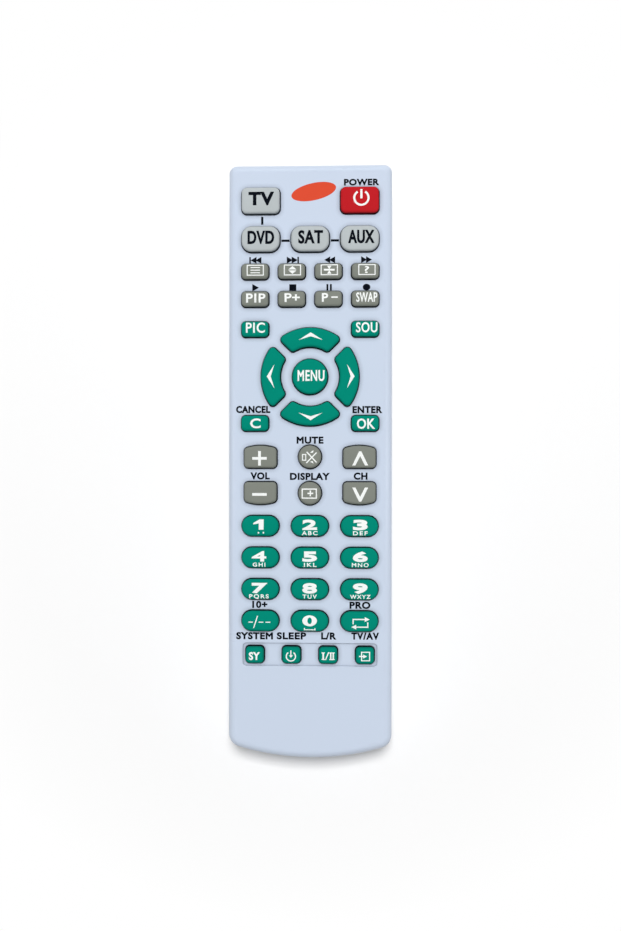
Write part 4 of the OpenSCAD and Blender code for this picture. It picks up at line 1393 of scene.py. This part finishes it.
def battery_springs(context):
    """The two conical springs, swept along their wire lines."""
    bay = context.scene.remote_bay
    low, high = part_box("battery_springs")
    cell_low, cell_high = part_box("battery_cells")
    radius = (cell_high.z - cell_low.z) / 2
    level = (cell_high.z + cell_low.z) / 2
    curve = bpy.data.curves.new("spring_wire", "CURVE")
    curve.dimensions = "3D"
    for middle, start, end in (
        (Vector((cell_low.x + radius, level)), low.y, low.y + bay.spring_length),
        (Vector((cell_high.x - radius, level)), high.y, high.y - bay.spring_length),
    ):
        points = spring_path(bay, middle, start, end)
        spline = curve.splines.new("POLY")
        spline.points.add(len(points) - 1)
        for point, place in zip(spline.points, points):
            point.co = (*place, 1)
    steel = surface("spring_steel", (0.72, 0.71, 0.69), 0.24, metallic=1.0)
    group = geometry_tree("wound_wire", {"Wire Radius": "Float", "Wire Sides": "Int"}, steel, wound_wire)
    values = {"Wire Radius": bay.wire / 2, "Wire Sides": WIRE_SIDES}
    mesh = grown_mesh("battery_spring_pair", curve, group, values)
    place_piece("battery_spring_pair", mesh, CASE_BODY, ["battery_springs"])


def islands(node):
    """The boxes of a node's separate solids."""
    bm = bmesh.new()
    bm.from_mesh(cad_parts[node].data)
    bmesh.ops.remove_doubles(bm, verts=bm.verts, dist=MERGE)
    boxes = []
    left = set(bm.verts)
    while left:
        reached = [left.pop()]
        for vert in reached:
            near = [e.other_vert(vert) for e in vert.link_edges if e.other_vert(vert) in left]
            left.difference_update(near)
            reached += near
        sides = [spread(vert.co[axis] for vert in reached) for axis in range(3)]
        boxes.append([Vector(corner) for corner in zip(*sides)])
    bm.free()
    return sorted(boxes, key=lambda box: tuple(box[0]))


def screw_form(bay, radius, length):
    """One screw, head down: a cross recess, a chamfered head, a ridged shank and a point."""

    def ring(r, z):
        return at(round_outline(r), z)

    half, reach = bay.recess_width / 2, bay.recess_reach
    corner = points_of((reach, -half), (reach, half), (half, half))
    cross = [p for i in range(4) for p in turned(corner, 90 * i)]
    deep = [p * RECESS_TAPER for p in cross]
    bm = bmesh.new()
    add_flat(bm, [round_outline(radius - bay.head_edge), cross], 0)
    loft(bm, [at(cross, 0), at(deep, bay.recess_depth)])
    add_flat(bm, [deep], bay.recess_depth)
    rings = [ring(radius - bay.head_edge, 0), ring(radius, bay.head_edge), ring(radius, bay.head_height)]
    rings.append(ring(bay.shank_radius, bay.head_height))
    point = length - 2 * bay.shank_radius
    for i in range(int((point - bay.head_height) / bay.thread_pitch)):
        foot = bay.head_height + i * bay.thread_pitch
        rings.append(ring(bay.shank_radius - bay.thread_depth, foot + bay.thread_pitch / 2))
        rings.append(ring(bay.shank_radius, foot + bay.thread_pitch))
    rings.append(ring(LEAST_CORNER, length))
    made = loft(bm, rings)
    bm.faces.new(made[-1])
    bmesh.ops.remove_doubles(bm, verts=bm.verts, dist=MERGE)
    bmesh.ops.recalc_face_normals(bm, faces=bm.faces)
    mesh = bpy.data.meshes.new("screw_form")
    bm.to_mesh(mesh)
    bm.free()
    return mesh


def placed_copies(tree, given):
    """Sets a copy of an object on every point, each turned on from the one before."""
    number = tree.nodes.new("GeometryNodeInputIndex").outputs["Index"]
    angle = add_node(tree, "ShaderNodeMath", {0: number, 1: given["Turn"]}, operation="MULTIPLY").outputs[0]
    about = add_node(tree, "ShaderNodeCombineXYZ", {"Z": angle}).outputs["Vector"]
    source = add_node(tree, "GeometryNodeObjectInfo", {"Object": given["Form"]}).outputs["Geometry"]
    places = {"Points": given["Geometry"], "Instance": source, "Rotation": about}
    return add_node(tree, "GeometryNodeInstanceOnPoints", places).outputs["Instances"]


def case_screws(context):
    """The case screws, each a copy of one form set where a solid of the node stands."""
    boxes = islands("case_screws")
    low, high = boxes[0]
    mesh = screw_form(context.scene.remote_bay, (high.x - low.x) / 2, high.z - low.z)
    form = add_object("screw_form", mesh)
    places = bpy.data.meshes.new("screw_places")
    places.from_pydata([((a.x + b.x) / 2, (a.y + b.y) / 2, a.z) for a, b in boxes], [], [])
    steel = surface("screw_steel", (0.6, 0.6, 0.6), 0.3, metallic=1.0)
    group = geometry_tree("placed_screws", {"Form": "Object", "Turn": "Float"}, steel, placed_copies)
    made = grown_mesh("case_screw_set", places, group, {"Form": form, "Turn": SCREW_TURN})
    bpy.data.objects.remove(form)
    smooth(made)
    place_piece("case_screw_set", made, CASE_BODY, ["case_screws"])


# Stage


class Light(PropertyGroup):
    """Levels of the studio light."""

    sides: power("Sides", "Power of the strips at the sides", 0.45)
    head: power("Head", "Power of the strip beyond the head", 0.5)
    main: power("Main", "Power of the soft box overhead", 34)
    room: FloatProperty(name="Room", description="Strength of the even light of the room", default=0.17)


# Soft boxes: their power, place and extent, and whether they light the object or only leave highlights
SOFT_BOXES = (
    ("main_box", "main", (0.08, 0.6, 1.9), (0.42, 0.42), True),
    ("left_strip", "sides", (-0.5, 0.0, 0.6), (0.06, 0.7), False),
    ("right_strip", "sides", (0.5, 0.0, 0.6), (0.06, 0.7), False),
    ("head_strip", "head", (0, 0.55, 0.55), (0.6, 0.06), False),
)

# Floor: half its width, its gap below the object, and how its glow grows with the distance from the middle
FLOOR_HALF = 3.0
FLOOR_GAP = 0.05 * MM
FLOOR_GLOW = {"From Min": 0.1, "From Max": 0.15, "To Min": 0.17, "To Max": 1}

# Camera: its place and its turn
EYE_PLACE = (14.9 * MM, -0.9 * MM, 368.01 * MM)
EYE_TURN = [math.radians(a) for a in (-0.048, 2.43, 0.06)]


def stage(context):
    """The floor, the soft boxes, the room light and the camera."""
    light = context.scene.remote_light
    floor()
    for name, level, place, extent, lights in SOFT_BOXES:
        soft_box(name, place, extent, getattr(light, level), lights)
    room(context, light.room)
    camera(context)
    context.scene.view_settings.view_transform = "Standard"


def floor():
    """A pale floor that keeps the object's shadow and fades to white further out."""
    mesh = bpy.data.meshes.new("studio_floor")
    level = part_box("base_cover")[0].z - FLOOR_GAP
    corners = ((-1, -1), (1, -1), (1, 1), (-1, 1))
    mesh.from_pydata([(x * FLOOR_HALF, y * FLOOR_HALF, level) for x, y in corners], [], [(0, 1, 2, 3)])
    made = bpy.data.materials.new("studio_floor")
    made.use_nodes = True
    tree = made.node_tree
    tree.nodes.remove(tree.nodes["Principled BSDF"])
    matt = add_node(tree, "ShaderNodeBsdfDiffuse", {"Color": WHITE}).outputs["BSDF"]
    glow = add_node(tree, "ShaderNodeEmission", {"Strength": 1}).outputs["Emission"]
    place = tree.nodes.new("ShaderNodeTexCoord").outputs["Object"]
    away = add_node(tree, "ShaderNodeVectorMath", {0: place}, operation="LENGTH").outputs["Value"]
    fade = add_node(tree, "ShaderNodeMapRange", {"Value": away, **FLOOR_GLOW}).outputs["Result"]
    share = add_node(tree, "ShaderNodeMath", {0: seen_rays(tree), 1: fade}, operation="MULTIPLY").outputs[0]
    mixed = add_node(tree, "ShaderNodeMixShader", {"Fac": share, 1: matt, 2: glow}).outputs["Shader"]
    set_inputs(tree, tree.nodes["Material Output"], {"Surface": mixed})
    mesh.materials.append(made)
    ground = add_object("studio_floor", mesh)


def seen_rays(tree):
    """One for rays that show the background: from the camera, in gloss or through glass."""
    path = tree.nodes.new("ShaderNodeLightPath").outputs
    total = path["Is Camera Ray"]
    for kind in ("Is Glossy Ray", "Is Transmission Ray"):
        total = add_node(tree, "ShaderNodeMath", {0: total, 1: path[kind]}, operation="MAXIMUM").outputs[0]
    return total


def soft_box(name, place, extent, watts, lights):
    """A soft box that faces the object, and lights it or only leaves highlights on it."""
    lamp = bpy.data.lights.new(name, "AREA")
    lamp.shape = "RECTANGLE"
    lamp.size, lamp.size_y = extent
    lamp.energy = watts
    holder = add_object(name, lamp)
    holder.location = place
    holder.visible_diffuse = lights
    holder.visible_glossy = not lights
    holder.rotation_euler = (-Vector(place)).to_track_quat("-Z", "Y").to_euler()


def room(context, strength):
    """Even light from all round, with a white background."""
    world = bpy.data.worlds.new("studio_room")
    world.use_nodes = True
    tree = world.node_tree
    levels = {"Value": seen_rays(tree), "To Min": strength, "To Max": 1}
    level = add_node(tree, "ShaderNodeMapRange", levels).outputs["Result"]
    set_inputs(tree, tree.nodes["Background"], {"Color": WHITE, "Strength": level})
    context.scene.world = world


def camera(context):
    """The camera above the key face."""
    lens = bpy.data.cameras.new("front_camera")
    lens.lens = 44.01
    lens.sensor_width = 36
    lens.clip_start = 0.01
    eye = add_object("front_camera", lens)
    eye.location = EYE_PLACE
    eye.rotation_euler = EYE_TURN
    context.scene.camera = eye


# Operators


class REMOTE_OT_face_cover(Operator):
    """Model the face cover with its key openings and sunk panel"""

    bl_idname = "remote.face_cover"
    bl_label = "Face Cover"

    def execute(self, context):
        face_cover(context)
        return {"FINISHED"}


class REMOTE_OT_base_cover(Operator):
    """Smooth the base cover"""

    bl_idname = "remote.base_cover"
    bl_label = "Base Cover"

    def execute(self, context):
        plastic = finish("case_plastic")
        edge = context.scene.remote_case.edge
        smoothed_copy("base_cover", "base_cover_shell", CASE_BODY, plastic, edge)
        return {"FINISHED"}


class REMOTE_OT_battery_door(Operator):
    """Smooth the battery door and add its arrow"""

    bl_idname = "remote.battery_door"
    bl_label = "Battery Door"

    def execute(self, context):
        battery_door(context)
        return {"FINISHED"}


class REMOTE_OT_keys(Operator):
    """Model every key with its skirt, rounded edge and crowned top"""

    bl_idname = "remote.keys"
    bl_label = "Keys"

    def execute(self, context):
        for node in KEY_KINDS:
            key_cap(context, node)
        return {"FINISHED"}


class REMOTE_OT_key_legends(Operator):
    """Print the legend of every key"""

    bl_idname = "remote.key_legends"
    bl_label = "Key Legends"

    def execute(self, context):
        for node, marks in key_marks().items():
            key_legend(context, node, marks)
        return {"FINISHED"}


class REMOTE_OT_case_print(Operator):
    """Print the legends and the oval on the key face"""

    bl_idname = "remote.case_print"
    bl_label = "Case Print"

    def execute(self, context):
        case_print(context)
        return {"FINISHED"}


class REMOTE_OT_battery_cells(Operator):
    """Model the two cells"""

    bl_idname = "remote.battery_cells"
    bl_label = "Battery Cells"

    def execute(self, context):
        battery_cells(context)
        return {"FINISHED"}


class REMOTE_OT_battery_springs(Operator):
    """Wind the two battery springs"""

    bl_idname = "remote.battery_springs"
    bl_label = "Battery Springs"

    def execute(self, context):
        battery_springs(context)
        return {"FINISHED"}


class REMOTE_OT_case_screws(Operator):
    """Set the case screws in their places"""

    bl_idname = "remote.case_screws"
    bl_label = "Case Screws"

    def execute(self, context):
        case_screws(context)
        return {"FINISHED"}


class REMOTE_OT_infrared_window(Operator):
    """Round the edges of the infrared window"""

    bl_idname = "remote.infrared_window"
    bl_label = "Infrared Window"

    def execute(self, context):
        edge = context.scene.remote_case.window_edge
        plastic = surface("window_plastic", (0.014, 0.004, 0.008), 0.08, depth=0.002, specular_ior_level=0.4)
        smoothed_copy("infrared_window", "infrared_window_lens", CASE_BODY, plastic, edge)
        return {"FINISHED"}


class REMOTE_OT_inner_parts(Operator):
    """Finish the pieces inside the case"""

    bl_idname = "remote.inner_parts"
    bl_label = "Inner Parts"

    def execute(self, context):
        for node, (tint, roughness, settings) in INNER_FINISHES.items():
            paint(node, surface(node, tint, roughness, **settings))
        paint("circuit_board", board_laminate())
        return {"FINISHED"}


def paint(node, material):
    """Gives a node one material."""
    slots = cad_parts[node].data.materials
    slots.clear()
    slots.append(material)


class REMOTE_OT_stage(Operator):
    """Set up the floor, the soft boxes, the room light and the camera"""

    bl_idname = "remote.stage"
    bl_label = "Stage"

    def execute(self, context):
        stage(context)
        return {"FINISHED"}


OPERATORS = (
    REMOTE_OT_face_cover, REMOTE_OT_base_cover, REMOTE_OT_battery_door, REMOTE_OT_keys, REMOTE_OT_key_legends,
    REMOTE_OT_case_print, REMOTE_OT_battery_cells, REMOTE_OT_battery_springs, REMOTE_OT_case_screws,
    REMOTE_OT_infrared_window, REMOTE_OT_inner_parts, REMOTE_OT_stage,
)
GROUPS = {
    "remote_case": CaseSizes,
    "remote_keys": KeySizes,
    "remote_print": PrintSizes,
    "remote_bay": BaySizes,
    "remote_finishes": Finishes,
    "remote_light": Light,
}


class REMOTE_PT_panel(Panel):
    """Lists the pieces of the remote control and their sizes"""

    bl_idname = "REMOTE_PT_panel"
    bl_label = "Remote Control"
    bl_space_type = "VIEW_3D"
    bl_region_type = "UI"
    bl_category = "Remote"

    def draw(self, context):
        for group in GROUPS:
            box = self.layout.box()
            for name in getattr(context.scene, group).__annotations__:
                box.prop(getattr(context.scene, group), name)
        for operator in OPERATORS:
            self.layout.operator(operator.bl_idname)


CLASSES = (*GROUPS.values(), *OPERATORS, REMOTE_PT_panel)


def register():
    for cls in CLASSES:
        bpy.utils.register_class(cls)
    for name, group in GROUPS.items():
        setattr(bpy.types.Scene, name, PointerProperty(type=group))


def unregister():
    for name in GROUPS:
        delattr(bpy.types.Scene, name)
    for cls in reversed(CLASSES):
        bpy.utils.unregister_class(cls)


def main():
    register()
    bpy.ops.remote.face_cover()
    bpy.ops.remote.base_cover()
    bpy.ops.remote.battery_door()
    bpy.ops.remote.keys()
    bpy.ops.remote.key_legends()
    bpy.ops.remote.case_print()
    bpy.ops.remote.battery_cells()
    bpy.ops.remote.battery_springs()
    bpy.ops.remote.case_screws()
    bpy.ops.remote.infrared_window()
    bpy.ops.remote.inner_parts()
    bpy.ops.remote.stage()
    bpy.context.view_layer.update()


if __name__ == "__main__":
    main()
